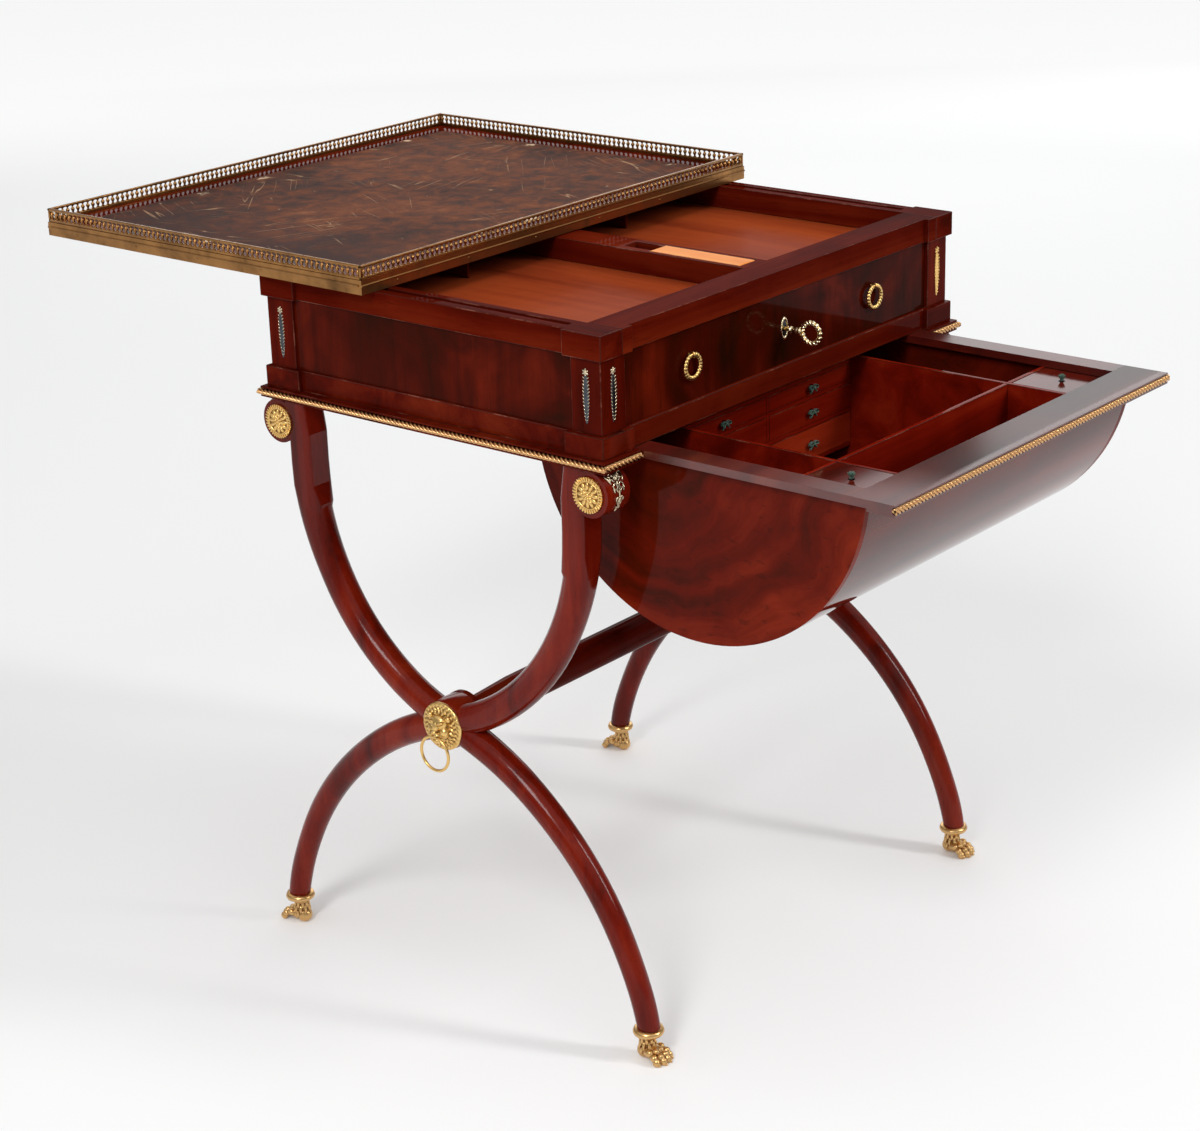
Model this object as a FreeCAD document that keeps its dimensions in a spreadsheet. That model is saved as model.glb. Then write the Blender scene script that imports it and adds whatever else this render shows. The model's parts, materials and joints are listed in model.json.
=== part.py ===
import FreeCAD, Part
import math
import os
import Sketcher
from FreeCAD import Rotation, Vector

# Writing table on two X-shaped ends: sliding galleried top over a shallow well, a frieze drawer with
# lock and ring pulls, and a half-round box that slides out below. Millimetres, +Z up, front towards -Y.

# Driving dimensions
DIMS = {
    # case
    "case_width": 594,
    "case_depth": 446,
    "case_top": 748,
    "rail_height": 25,
    "frieze_height": 73,
    "plinth_height": 22,
    "base_height": 11,
    "side_rail_width": 32,
    "front_rail_width": 41,
    "block_width": 47,
    "break_step": 5,
    "post_size": 36,
    "post_inset": 4.5,
    "post_tenon": 8,
    "panel_inset": 3,
    "panel_thickness": 12,
    "base_reach": 5,
    "base_rail_width": 54,
    "rope_radius": 3.5,
    "board_thickness": 4,
    # well under the sliding top
    "divider_width": 40,
    "divider_drop": 1,
    "partition_thickness": 3,
    "partition_place": 128,
    "partition_length": 92,
    "partition_height": 18,
    "trough_width": 22,
    "trough_depth": 14,
    "trough_length": 150,
    "trough_front": 12,
    "pen_lid_width": 28,
    "pen_lid_length": 114,
    "pen_lid_thickness": 4,
    # sliding top
    "top_width": 622,
    "top_depth": 468,
    "top_open": 298,
    "top_thickness": 14.5,
    "band_thickness": 4,
    "bead_radius": 1.2,
    "gallery_height": 14.5,
    "gallery_thickness": 2.6,
    "gallery_pitch": 7,
    "gallery_foot": 3.2,
    "gallery_cap": 2.4,
    "baluster_neck": 2.0,
    "baluster_belly": 3.6,
    "leather_border": 26,
    "leather_thickness": 1.5,
    "groove_width": 8,
    "groove_depth": 9,
    "groove_inset": 15,
    "groove_front": 172,
    "runner_back": 12,
    # frieze drawer
    "drawer_front_inset": 4,
    "drawer_front_thickness": 16,
    "drawer_side_thickness": 11,
    "drawer_back_gap": 3,
    "drawer_side_drop": 7,
    "drawer_bottom_lift": 6,
    "drawer_bottom_thickness": 5,
    "drawer_groove": 4,
    "ring_place": 155,
    "ring_lift": 35,
    "ring_radius": 11.6,
    "ring_wire": 1.9,
    "eye_thickness": 4,
    "eye_wall": 1.8,
    "eye_rose_radius": 5,
    "eye_rose_thickness": 1.2,
    "key_lift": 36,
    "key_shaft": 2.4,
    "key_reach": 20,
    "key_bow": 10.5,
    "key_bow_wire": 1.9,
    "key_bit_length": 7,
    "key_bit_thickness": 2.2,
    "escutcheon_width": 12,
    "escutcheon_height": 24,
    "escutcheon_thickness": 1.6,
    "lock_width": 40,
    "lock_depth": 9,
    "lock_margin": 2,
    "bolt_width": 12,
    "bolt_depth": 5,
    "bolt_length": 22,
    "bolt_throw": 10,
    # half-round box
    "box_open": 283,
    "box_front_inset": 35.5,
    "box_centre_lift": 9,
    "box_wall": 6,
    "box_end_inset": 8,
    "box_end_thickness": 7,
    "frame_thickness": 8,
    "frame_front": 48,
    "frame_side": 26,
    "frame_back": 15,
    "frame_lip": 3,
    "frame_lip_width": 30,
    "box_divider": 5,
    "long_divider_place": 100,
    "corner_width": 78.9,
    "lid_thickness": 6,
    "ledge": 6,
    "nest_front": 89,
    "nest_top_drop": 4,
    "nest_board": 4,
    "upper_row_height": 18,
    "middle_row_height": 27,
    "lower_row_height": 34,
    "small_front": 6,
    "small_wall": 4,
    "silk_radius": 3.5,
    "silk_length": 7.5,
    "runner_width": 22,
    "runner_thickness": 6,
    # X ends
    "leg_inset": 19,
    "crossing_height": 304.5,
    "crossing_seat": 2.5,
    "stem_inset": 46.2,
    "stem_straight": 67.5,
    "lower_radius": 359,
    "leg_foot_radius": 11.5,
    "leg_crossing_radius": 16,
    "leg_top_radius": 16.2,
    "stem_width": 33,
    "stem_depth": 28,
    "stem_corner": 6,
    "stem_lean": 5,
    "stem_height": 112,
    "scroll_radius": 23,
    "scroll_reach": 24,
    "scroll_drop": 0.5,
    "roundel_radius": 18,
    "palmette_width": 26,
    "palmette_thickness": 1.6,
    "stretcher_radius": 18,
    "hub_radius": 27,
    "hub_length": 12,
    "stretcher_tenon": 7,
    "stretcher_swell": 68,
    "tenon_end_gap": 0.5,
    "tenon_cover": 4,
    "mask_radius": 26,
    "lion_eye_reach": 15,
    "lion_eye_drop": 7,
    "lion_ring_radius": 18.5,
    "lion_ring_wire": 1.6,
    "paw_height": 35,
    "paw_width": 28,
    "paw_toe": 5.2,
    "paw_heel": 10,
    "leaf_height": 54,
    "leaf_width": 8.5,
    "leaf_thickness": 1.6,
    # clearances
    "slide_gap": 0.3,
    "side_gap": 0.6,
    "eye_gap": 0.6,
}

OVER = 2

doc = FreeCAD.newDocument("desk")
sheet = doc.addObject("Spreadsheet::Sheet", "dims")
for row, (alias, number) in enumerate(DIMS.items(), start=1):
    sheet.set(f"A{row}", alias)
    sheet.set(f"B{row}", str(number))
    sheet.setAlias(f"B{row}", alias)
doc.recompute()


class Size:
    """A length kept both as an expression on the sheet and as its value."""

    def __init__(self, text, value):
        self.text = text
        self.value = value

    def __add__(self, other):
        other = as_size(other)
        return Size(f"({self.text} + {other.text})", self.value + other.value)

    def __sub__(self, other):
        other = as_size(other)
        return Size(f"({self.text} - {other.text})", self.value - other.value)

    def __mul__(self, other):
        other = as_size(other)
        return Size(f"({self.text} * {other.text})", self.value * other.value)

    def __truediv__(self, other):
        other = as_size(other)
        return Size(f"({self.text} / {other.text})", self.value / other.value)

    def __radd__(self, other):
        return as_size(other) + self

    def __rsub__(self, other):
        return as_size(other) - self

    def __rmul__(self, other):
        return as_size(other) * self

    def __neg__(self):
        return Size(f"(-1 * {self.text})", -self.value)

    def __float__(self):
        return self.value

    def root(self):
        return Size(f"sqrt({self.text})", math.sqrt(self.value))


def as_size(number):
    return number if isinstance(number, Size) else Size(repr(float(number)), float(number))


class Sheet:
    """Gives each cell of the sheet by its alias, as a Size."""

    def __getattr__(self, alias):
        return Size(f"dims.{alias}", float(sheet.get(alias)))


d = Sheet()

# Levels and planes that several pieces share
half_w = d.case_width / 2
half_d = d.case_depth / 2
z_top = d.case_top
z_rail = z_top - d.rail_height
z_plinth = z_rail - d.frieze_height
z_base = z_plinth - d.plinth_height
z_under = z_base - d.base_height
side_in = half_w - d.side_rail_width
front_in = half_d - d.front_rail_width
post_x = half_w - d.post_inset
post_y = half_d - d.post_inset
post_x_in = post_x - d.post_size
post_y_in = post_y - d.post_size
base_x = half_w + d.base_reach
base_y = half_d + d.base_reach
base_in = base_x - d.base_rail_width
box_radius = base_y - d.box_front_inset
leg_plane = base_x - d.leg_inset

# The origin lies under the middle of the open table, so the case stands a little behind it
box_reach = base_y + d.rope_radius + d.box_open
top_reach = d.top_depth / 2 + d.bead_radius + d.top_open
case_shift = (box_reach - top_reach) / 2

own_y = {}
nodes = []


def bind(obj, **sizes):
    for name, size in sizes.items():
        obj.setExpression(name, as_size(size).text)
    return obj


def place(obj, x, y, z):
    own_y[obj.Name] = as_size(y)
    obj.setExpression("Placement.Base.x", as_size(x).text)
    obj.setExpression("Placement.Base.y", as_size(y).text)
    obj.setExpression("Placement.Base.z", as_size(z).text)
    return obj


def box(name, x, y, z):
    obj = doc.addObject("Part::Box", name)
    low_x, low_y, low_z = as_size(x[0]), as_size(y[0]), as_size(z[0])
    bind(obj, Length=as_size(x[1]) - low_x, Width=as_size(y[1]) - low_y, Height=as_size(z[1]) - low_z)
    return place(obj, low_x, low_y, low_z)


TURN = {"X": Rotation(Vector(0, 1, 0), 90), "Y": Rotation(Vector(1, 0, 0), -90), "Z": Rotation()}


def rod(name, axis, radius, start, length, x=0, y=0, z=0):
    """A cylinder along an axis, from start; x, y and z place its centre line."""
    obj = doc.addObject("Part::Cylinder", name)
    bind(obj, Radius=radius, Height=length)
    obj.Placement.Rotation = TURN[axis]
    where = {"X": x, "Y": y, "Z": z}
    where[axis] = start
    return place(obj, where["X"], where["Y"], where["Z"])


def cone(name, radius_low, radius_high, x, y, z):
    obj = doc.addObject("Part::Cone", name)
    bind(obj, Radius1=radius_low, Radius2=radius_high, Height=as_size(z[1]) - as_size(z[0]))
    return place(obj, x, y, z[0])


def ball(name, radius, x, y, z):
    obj = doc.addObject("Part::Sphere", name)
    bind(obj, Radius=radius)
    return place(obj, x, y, z)


def hoop(name, axis, radius, wire, x, y, z):
    obj = doc.addObject("Part::Torus", name)
    bind(obj, Radius1=radius, Radius2=wire)
    obj.Placement.Rotation = TURN[axis]
    return place(obj, x, y, z)


def cut(name, base, *tools):
    for number, tool in enumerate(tools):
        result = doc.addObject("Part::Cut", name if number == len(tools) - 1 else f"{name}_{number}")
        result.Base = base
        result.Tool = tool
        base = result
    return base


def fuse(name, *parts):
    result = doc.addObject("Part::MultiFuse", name)
    result.Shapes = list(parts)
    result.Refine = True
    return result


def common(name, first, second):
    result = doc.addObject("Part::Common", name)
    result.Base = first
    result.Tool = second
    return result


def mirror(obj, normal):
    result = doc.addObject("Part::Mirroring", obj.Name + "_mirror")
    result.Source = obj
    result.Normal = normal
    return result


def pair(obj):
    """A piece and its mirror image at the other end."""
    return [obj, mirror(obj, Vector(1, 0, 0))]


def four(obj):
    """A piece at each corner."""
    front = pair(obj)
    return front + [mirror(piece, Vector(0, 1, 0)) for piece in front]


def node(label, pieces, move=0):
    """Names a finished sub-part and carries it to its place at rest."""
    if len(pieces) == 1 and pieces[0].TypeId != "Part::Mirroring":
        obj = pieces[0]
    else:
        obj = doc.addObject("Part::Compound", label + "_set")
        obj.Links = list(pieces)
    obj.Label = label
    start = own_y.get(obj.Name, as_size(0))
    obj.setExpression("Placement.Base.y", (start + case_shift + move).text)
    nodes.append(obj)
    return obj


def shape_node(label, shape, move=0):
    """Names a sub-part whose form no primitive or sketch gives."""
    obj = doc.addObject("Part::Feature", label)
    obj.Shape = shape
    return node(label, [obj], move)


def origin_plane(body, role):
    return next(plane for plane in body.Origin.OriginFeatures if plane.Role == role)


def polygon_sketch(body, role, points):
    """A closed outline on one of the body's own planes, each corner tied to the sheet."""
    sketch = body.newObject("Sketcher::SketchObject", body.Name + "_sketch")
    sketch.AttachmentSupport = [(origin_plane(body, role), "")]
    sketch.MapMode = "FlatFace"
    corners = [(as_size(u), as_size(v)) for u, v in points]
    count = len(corners)
    for number, (u, v) in enumerate(corners):
        end = corners[(number + 1) % count]
        start_point = Vector(u.value, v.value, 0)
        end_point = Vector(end[0].value, end[1].value, 0)
        sketch.addGeometry(Part.LineSegment(start_point, end_point), False)
    for number, (u, v) in enumerate(corners):
        sketch.addConstraint(Sketcher.Constraint("Coincident", number, 2, (number + 1) % count, 1))
        for kind, size in (("DistanceX", u), ("DistanceY", v)):
            index = sketch.addConstraint(Sketcher.Constraint(kind, -1, 1, number, 1, size.value))
            sketch.setExpression(f"Constraints[{index}]", size.text)
    return sketch


def padded(name, role, points, start, length):
    """An outline padded along its plane's normal, from start."""
    body = doc.addObject("PartDesign::Body", name)
    sketch = polygon_sketch(body, role, points)
    sketch.setExpression("AttachmentOffset.Base.z", as_size(start).text)
    pad = body.newObject("PartDesign::Pad", name + "_pad")
    pad.Profile = sketch
    bind(pad, Length=length)
    return body


def turned(name, points, z=0, y=0):
    """An outline of (x, radius) points turned about a line along X at height z."""
    body = doc.addObject("PartDesign::Body", name)
    sketch = polygon_sketch(body, "XZ_Plane", points)
    turn = body.newObject("PartDesign::Revolution", name + "_turn")
    turn.Profile = sketch
    turn.ReferenceAxis = (sketch, ["H_Axis"])
    turn.Angle = 360
    return place(body, 0, y, z)


# Frame members with corner blocks standing forward, shared by the top rails and the plinth
def side_member(name, z):
    whole = box(name + "_whole", (side_in, half_w), (-half_d, half_d), z)
    block_y = half_d - d.block_width
    recess = box(name + "_recess", (half_w - d.break_step, half_w + OVER), (-block_y, block_y), z)
    return cut(name, whole, recess)


def cross_member(name, z):
    whole = box(name + "_whole", (-side_in, side_in), (-half_d, -front_in), z)
    block_x = half_w - d.block_width
    recess = box(name + "_recess", (-block_x, block_x), (-half_d - OVER, d.break_step - half_d), z)
    return cut(name, whole, recess)


def tenon_hole(name, z):
    middle_x = post_x - d.post_size / 2 + d.post_tenon / 2
    middle_y = post_y - d.post_size / 2
    reach = d.post_tenon
    return box(name, (middle_x - reach / 2, middle_x + reach), (middle_y - reach, middle_y + reach), z)


# Corner posts, tenoned into the frames above and below
tenon_z = (z_plinth - d.post_tenon, z_rail + d.post_tenon)
post = fuse(
    "corner_post",
    box("post_shaft", (post_x_in, post_x), (post_y_in, post_y), (z_plinth, z_rail)),
    tenon_hole("post_tenon_piece", tenon_z),
)
node("corner_posts", four(post))

# Top rails: the side ones carry the grooves of the sliding top
groove_out = half_w - d.groove_inset
groove_in = groove_out - d.groove_width
groove_z = z_top - d.groove_depth
rail_z = (z_rail, z_top)
mortise_front = tenon_hole("rail_mortise", tenon_z)
side_rail = cut(
    "side_rail",
    side_member("side_rail_body", rail_z),
    mortise_front,
    mirror(mortise_front, Vector(0, 1, 0)),
    box("top_groove", (groove_in, groove_out), (-d.groove_front, half_d + OVER), (groove_z, z_top + OVER)),
)
node("side_top_rails", pair(side_rail))

drawer_face = -(post_y - d.drawer_front_inset)
drawer_back_of_front = drawer_face + d.drawer_front_thickness
bolt_slot = box(
    "bolt_mortise",
    (-d.bolt_width / 2 - d.side_gap, d.bolt_width / 2 + d.side_gap),
    (drawer_back_of_front - d.side_gap, drawer_back_of_front + d.bolt_depth + d.side_gap),
    (z_rail - OVER, z_rail + d.bolt_throw + d.side_gap),
)
front_rail_body = cross_member("front_rail_body", rail_z)
node("front_top_rail", [cut("front_rail", front_rail_body, bolt_slot)])
back_rail_body = cross_member("back_rail_body", rail_z)
node("back_top_rail", [mirror(back_rail_body, Vector(0, 1, 0))])

# Frieze panels between the posts
panel_x = post_x - d.panel_inset
panel_x_in = panel_x - d.panel_thickness
panel_y = post_y - d.panel_inset
frieze_z = (z_plinth, z_rail)
left_panel = box("left_panel_board", (-panel_x, -panel_x_in), (-post_y_in, post_y_in), frieze_z)
right_panel = box("right_panel_board", (panel_x_in, panel_x), (-post_y_in, post_y_in), frieze_z)
back_panel = box("back_panel_board", (-post_x_in, post_x_in), (panel_y - d.panel_thickness, panel_y), frieze_z)
node("left_panel", [left_panel])
node("right_panel", [right_panel])
node("back_panel", [back_panel])

# Plinth under the posts
plinth_z = (z_base, z_plinth)
plinth_mortise = tenon_hole("plinth_mortise", tenon_z)
plinth_side = cut(
    "plinth_side",
    side_member("plinth_side_body", plinth_z),
    plinth_mortise,
    mirror(plinth_mortise, Vector(0, 1, 0)),
)
plinth_front = cross_member("plinth_front", plinth_z)
node("plinth", pair(plinth_side) + [plinth_front, mirror(plinth_front, Vector(0, 1, 0))])

# Base moulding, open at the front for the box, with a groove round its edge for the rope
base_z = (z_under, z_base)
rope_z = z_under + d.base_height / 2
rope_seat = d.rope_radius + 0.1
base_side = cut(
    "base_side",
    box("base_side_board", (base_in, base_x), (-base_y, base_y), base_z),
    rod("base_side_groove", "Y", rope_seat, -base_y - OVER, 2 * base_y + 2 * OVER, x=base_x, z=rope_z),
    rod("base_end_groove", "X", rope_seat, base_in - OVER, d.base_rail_width + 2 * OVER, y=-base_y, z=rope_z),
    rod("base_back_groove", "X", rope_seat, base_in - OVER, d.base_rail_width + 2 * OVER, y=base_y, z=rope_z),
)
base_back = cut(
    "base_back",
    box("base_back_board", (-base_in, base_in), (box_radius + d.side_gap, base_y), base_z),
    rod("base_rear_groove", "X", rope_seat, -base_in - OVER, 2 * base_in + 2 * OVER, y=base_y, z=rope_z),
)
node("base_moulding", pair(base_side) + [base_back])

# Gilt rope round the base, mitred at the corners
rope_points = [
    (base_in, -base_y),
    (base_x, -base_y),
    (base_x, base_y),
    (-base_x, base_y),
    (-base_x, -base_y),
    (-base_in, -base_y),
]
rope_path = doc.addObject("Part::Feature", "rope_path")
rope_path.Shape = Part.makePolygon([Vector(x.value, y.value, rope_z.value) for x, y in rope_points])
rope_ring = doc.addObject("Part::Circle", "rope_ring")
bind(rope_ring, Radius=d.rope_radius)
rope_ring.Placement.Rotation = TURN["X"]
place(rope_ring, base_in, -base_y, rope_z)
rope_sweep = doc.addObject("Part::Sweep", "rope_sweep")
rope_sweep.Sections = [rope_ring]
rope_sweep.Spine = (rope_path, [f"Edge{number}" for number in range(1, len(rope_points))])
rope_sweep.Solid = True
rope_sweep.Transition = "Right corner"
node("case_rope", [rope_sweep])

# Well: floor, middle divider with a pen trough, and two thin partitions at the back
floor_z = (z_rail - d.board_thickness, z_rail)
node("well_floor", [box("well_floor_board", (-panel_x_in, panel_x_in), (-post_y_in, post_y_in), floor_z)])
divider_top = z_top - d.divider_drop
lid_front = d.trough_front - front_in
lid_low = divider_top - d.pen_lid_thickness
knuckle = d.pen_lid_thickness / 2
lid_gap = d.side_gap / 2
divider = cut(
    "divider",
    box("divider_bar", (-d.divider_width / 2, d.divider_width / 2), (-front_in, front_in), (z_rail, divider_top)),
    box(
        "lid_rebate",
        (-d.pen_lid_width / 2 - lid_gap, d.pen_lid_width / 2 + lid_gap),
        (lid_front - d.side_gap, lid_front + d.pen_lid_length + lid_gap),
        (lid_low, divider_top + OVER),
    ),
    box(
        "pen_trough",
        (-d.trough_width / 2, d.trough_width / 2),
        (lid_front + 2 * d.pen_lid_thickness, lid_front + d.trough_length),
        (divider_top - d.trough_depth, divider_top + OVER),
    ),
)
node("well_divider", [divider])
lid_pin_y = lid_front + knuckle
pen_lid = fuse(
    "pen_lid_piece",
    box(
        "pen_lid_board",
        (-d.pen_lid_width / 2, d.pen_lid_width / 2),
        (lid_pin_y, lid_front + d.pen_lid_length),
        (lid_low, divider_top),
    ),
    rod(
        "pen_lid_knuckle",
        "X",
        knuckle,
        -d.pen_lid_width / 2,
        d.pen_lid_width,
        y=lid_pin_y,
        z=lid_low + knuckle,
    ),
)
node("pen_lid", [pen_lid])
partition = box(
    "well_partition",
    (d.partition_place, d.partition_place + d.partition_thickness),
    (front_in - d.partition_length, front_in),
    (z_rail, z_rail + d.partition_height),
)
node("well_partitions", pair(partition))

# Dust board over the box, and the runners that carry the frieze drawer
dust_low = z_base + d.slide_gap
dust_z = (dust_low, dust_low + d.board_thickness)
node("dust_board", [box("dust_sheet", (-side_in, side_in), (-front_in, front_in), dust_z)])
runner_in = post_x_in - d.drawer_side_thickness - d.side_gap
drawer_low = z_plinth + d.slide_gap
runner = fuse(
    "drawer_runner",
    box("runner_bar", (runner_in, post_x_in), (-front_in, front_in), (dust_z[1], z_plinth)),
    box("runner_guide", (post_x_in, side_in), (-front_in, front_in), (dust_z[1], z_plinth + d.drawer_side_drop)),
)
node("drawer_runners", pair(runner))

# Leaf mounts on the two outer faces of each post
leaf_low = z_plinth + (d.frieze_height - d.leaf_height) / 2
leaf_high = leaf_low + d.leaf_height


def leaf_outline(middle):
    half = d.leaf_width / 2
    waist = half * 0.45
    return [
        (middle, leaf_low),
        (middle + waist, leaf_low + d.leaf_height * 0.3),
        (middle + waist, leaf_low + d.leaf_height * 0.62),
        (middle + half, leaf_low + d.leaf_height * 0.8),
        (middle + waist, leaf_high - d.leaf_width * 0.3),
        (middle, leaf_high),
        (middle - waist, leaf_high - d.leaf_width * 0.3),
        (middle - half, leaf_low + d.leaf_height * 0.8),
        (middle - waist, leaf_low + d.leaf_height * 0.62),
        (middle - waist, leaf_low + d.leaf_height * 0.3),
    ]


front_leaf = padded(
    "front_leaf", "XZ_Plane", leaf_outline(post_x - d.post_size / 2), post_y, d.leaf_thickness
)
side_leaf = padded(
    "side_leaf", "YZ_Plane", leaf_outline(post_y - d.post_size / 2), post_x, d.leaf_thickness
)
node("leaf_mounts", four(front_leaf) + four(side_leaf))

# Sliding top: board with an inset leather, brass band, runners in the side rails' grooves
top_x = d.top_width / 2
top_y = d.top_depth / 2
board_x = top_x - d.band_thickness
board_y = top_y - d.band_thickness
top_low = z_top + d.slide_gap
top_high = top_low + d.top_thickness
leather_x = board_x - d.leather_border
leather_y = board_y - d.leather_border
leather_z = (top_high - d.leather_thickness, top_high)
top_board = cut(
    "top_board_piece",
    box("top_slab", (-board_x, board_x), (-board_y, board_y), (top_low, top_high)),
    box("leather_recess", (-leather_x, leather_x), (-leather_y, leather_y), (leather_z[0], top_high + OVER)),
)
node("top_board", [top_board], d.top_open)
leather = box("leather_sheet", (-leather_x, leather_x), (-leather_y, leather_y), leather_z)
node("writing_leather", [leather], d.top_open)

bead_z = top_low + d.top_thickness * 0.62
band_z = (top_low, top_high)
band_front = fuse(
    "band_front",
    box("band_front_strip", (-top_x, top_x), (-top_y, -board_y), band_z),
    rod("band_front_bead", "X", d.bead_radius, -top_x, 2 * top_x, y=-top_y, z=bead_z),
)
band_side = fuse(
    "band_side",
    box("band_side_strip", (board_x, top_x), (-board_y, board_y), band_z),
    rod("band_side_bead", "Y", d.bead_radius, -board_y, 2 * board_y, x=top_x, z=bead_z),
)
node("edge_band", pair(band_side) + [band_front, mirror(band_front, Vector(0, 1, 0))], d.top_open)

runner_tongue = box(
    "runner_tongue",
    (groove_in + d.slide_gap, groove_out - d.slide_gap),
    (-d.groove_front + d.side_gap, board_y - d.runner_back),
    (groove_z + d.slide_gap, top_low),
)
node("top_runners", pair(runner_tongue), d.top_open)


# Pierced gallery: the gaps between vase-shaped balusters, cut from a strip
def gallery_strip(half_length, thickness):
    low = top_high.value + d.gallery_foot.value
    high = top_high.value + d.gallery_height.value - d.gallery_cap.value
    middle = low + (high - low) * 0.4
    pitch = d.gallery_pitch.value
    wide = (pitch - d.baluster_neck.value) / 2
    narrow = (pitch - d.baluster_belly.value) / 2
    count = int((2 * half_length - pitch) / pitch)
    start = -(count - 1) * pitch / 2
    outline = [
        Vector(-half_length, 0, top_high.value),
        Vector(half_length, 0, top_high.value),
        Vector(half_length, 0, top_high.value + d.gallery_height.value),
        Vector(-half_length, 0, top_high.value + d.gallery_height.value),
    ]
    wires = [Part.makePolygon(outline + outline[:1])]
    for number in range(count):
        x = start + number * pitch
        gap = [
            Vector(x - wide, 0, low),
            Vector(x - narrow, 0, middle),
            Vector(x - wide, 0, high),
            Vector(x + wide, 0, high),
            Vector(x + narrow, 0, middle),
            Vector(x + wide, 0, low),
        ]
        wires.append(Part.makePolygon(gap + gap[:1]))
    return Part.Face(wires, "Part::FaceMakerBullseye").extrude(Vector(0, thickness, 0))


def gallery_shape():
    thick = d.gallery_thickness.value
    inset = (d.band_thickness.value - thick) / 2
    long_strip = gallery_strip(top_x.value - inset, thick)
    short_strip = gallery_strip(top_y.value - inset - thick, thick)
    front = long_strip.translated(Vector(0, inset - top_y.value, 0))
    back = long_strip.translated(Vector(0, top_y.value - inset - thick, 0))
    short_strip.rotate(Vector(0, 0, 0), Vector(0, 0, 1), 90)
    left = short_strip.translated(Vector(inset + thick - top_x.value, 0, 0))
    right = short_strip.translated(Vector(top_x.value - inset, 0, 0))
    return Part.makeCompound([front, back, left, right])


shape_node("gallery", gallery_shape(), d.top_open)

# Frieze drawer
drawer_x = post_x_in - d.side_gap
drawer_x_in = drawer_x - d.drawer_side_thickness
drawer_rear = post_y - d.panel_inset - d.panel_thickness - d.drawer_back_gap
key_z = z_plinth + d.key_lift
drawer_z = (drawer_low, z_rail - d.slide_gap)
drawer_side_high = z_rail - d.board_thickness - d.drawer_side_drop
bottom_z = (drawer_low + d.drawer_bottom_lift, drawer_low + d.drawer_bottom_lift + d.drawer_bottom_thickness)
bottom_x = drawer_x_in + d.drawer_groove
bottom_front = drawer_back_of_front - d.drawer_groove
key_gap = d.key_shaft + 0.05
key_bit = d.key_bit_length
slot_half = d.key_bit_thickness / 2 + d.slide_gap
front_board = box("drawer_face_board", (-drawer_x, drawer_x), (drawer_face, drawer_back_of_front), drawer_z)
keyhole = rod("keyhole", "Y", key_gap, drawer_face - OVER, d.drawer_front_thickness + 2 * OVER, z=key_z)
key_slot = box(
    "key_slot",
    (-slot_half, slot_half),
    (drawer_face - OVER, drawer_back_of_front + OVER),
    (key_z - key_bit - d.side_gap, key_z),
)
bottom_groove = box("front_groove", (-bottom_x, bottom_x), (bottom_front, drawer_back_of_front + OVER), bottom_z)
node("drawer_front", [cut("drawer_face", front_board, keyhole, key_slot, bottom_groove)])
drawer_side = cut(
    "drawer_side",
    box("drawer_side_board", (drawer_x_in, drawer_x), (drawer_back_of_front, drawer_rear), (drawer_low, drawer_side_high)),
    box("side_groove", (drawer_x_in - OVER, bottom_x), (drawer_back_of_front - OVER, drawer_rear + OVER), bottom_z),
)
node("drawer_sides", pair(drawer_side))
drawer_back = box(
    "drawer_back_board",
    (-drawer_x_in, drawer_x_in),
    (drawer_rear - d.drawer_side_thickness, drawer_rear),
    (bottom_z[1], drawer_side_high),
)
node("drawer_back", [drawer_back])
node("drawer_bottom", [box("drawer_bottom_board", (-bottom_x, bottom_x), (bottom_front, drawer_rear), bottom_z)])

# Lock behind the drawer front; the key lifts its bolt into the rail above
lock_rear = drawer_back_of_front + d.lock_depth
lock_high = z_rail - d.board_thickness - d.slide_gap
bolt_high = z_rail - d.slide_gap - 1
bolt_x = d.bolt_width / 2
bolt_room = d.slide_gap
key_room = key_bit + d.side_gap
lock_low = key_z - key_room - d.lock_margin
lock = cut(
    "lock_case",
    box("lock_block", (-d.lock_width / 2, d.lock_width / 2), (drawer_back_of_front, lock_rear), (lock_low, lock_high)),
    rod("key_chamber", "Y", key_room, drawer_back_of_front - OVER, d.bolt_depth + OVER, z=key_z),
    box(
        "bolt_channel",
        (-bolt_x - bolt_room, bolt_x + bolt_room),
        (drawer_back_of_front - OVER, drawer_back_of_front + d.bolt_depth + bolt_room),
        (key_z, lock_high + OVER),
    ),
)
node("drawer_lock", [lock])
bolt = box(
    "bolt_bar",
    (-bolt_x, bolt_x),
    (drawer_back_of_front + bolt_room, drawer_back_of_front + d.bolt_depth),
    (bolt_high - d.bolt_length, bolt_high),
)
node("lock_bolt", [bolt])

# Keyhole plate, an eight-sided oval with the keyhole through it
plate_x = d.escutcheon_width / 2
plate_z = d.escutcheon_height / 2
plate_outline = [
    (plate_x, key_z - plate_z * 0.4),
    (plate_x, key_z + plate_z * 0.5),
    (plate_x * 0.5, key_z + plate_z),
    (-plate_x * 0.5, key_z + plate_z),
    (-plate_x, key_z + plate_z * 0.5),
    (-plate_x, key_z - plate_z * 0.4),
    (-plate_x * 0.4, key_z - plate_z),
    (plate_x * 0.4, key_z - plate_z),
]
plate = padded("plate", "XZ_Plane", plate_outline, -drawer_face, d.escutcheon_thickness)
plate_hole = rod("plate_hole", "Y", key_gap, drawer_face - 2 * OVER, 4 * OVER, z=key_z)
plate_slot = box(
    "plate_slot",
    (-slot_half, slot_half),
    (drawer_face - 2 * OVER, drawer_face + OVER),
    (key_z - key_bit - d.side_gap, key_z),
)
node("escutcheon", [cut("keyhole_plate", plate, plate_hole, plate_slot)])

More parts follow.
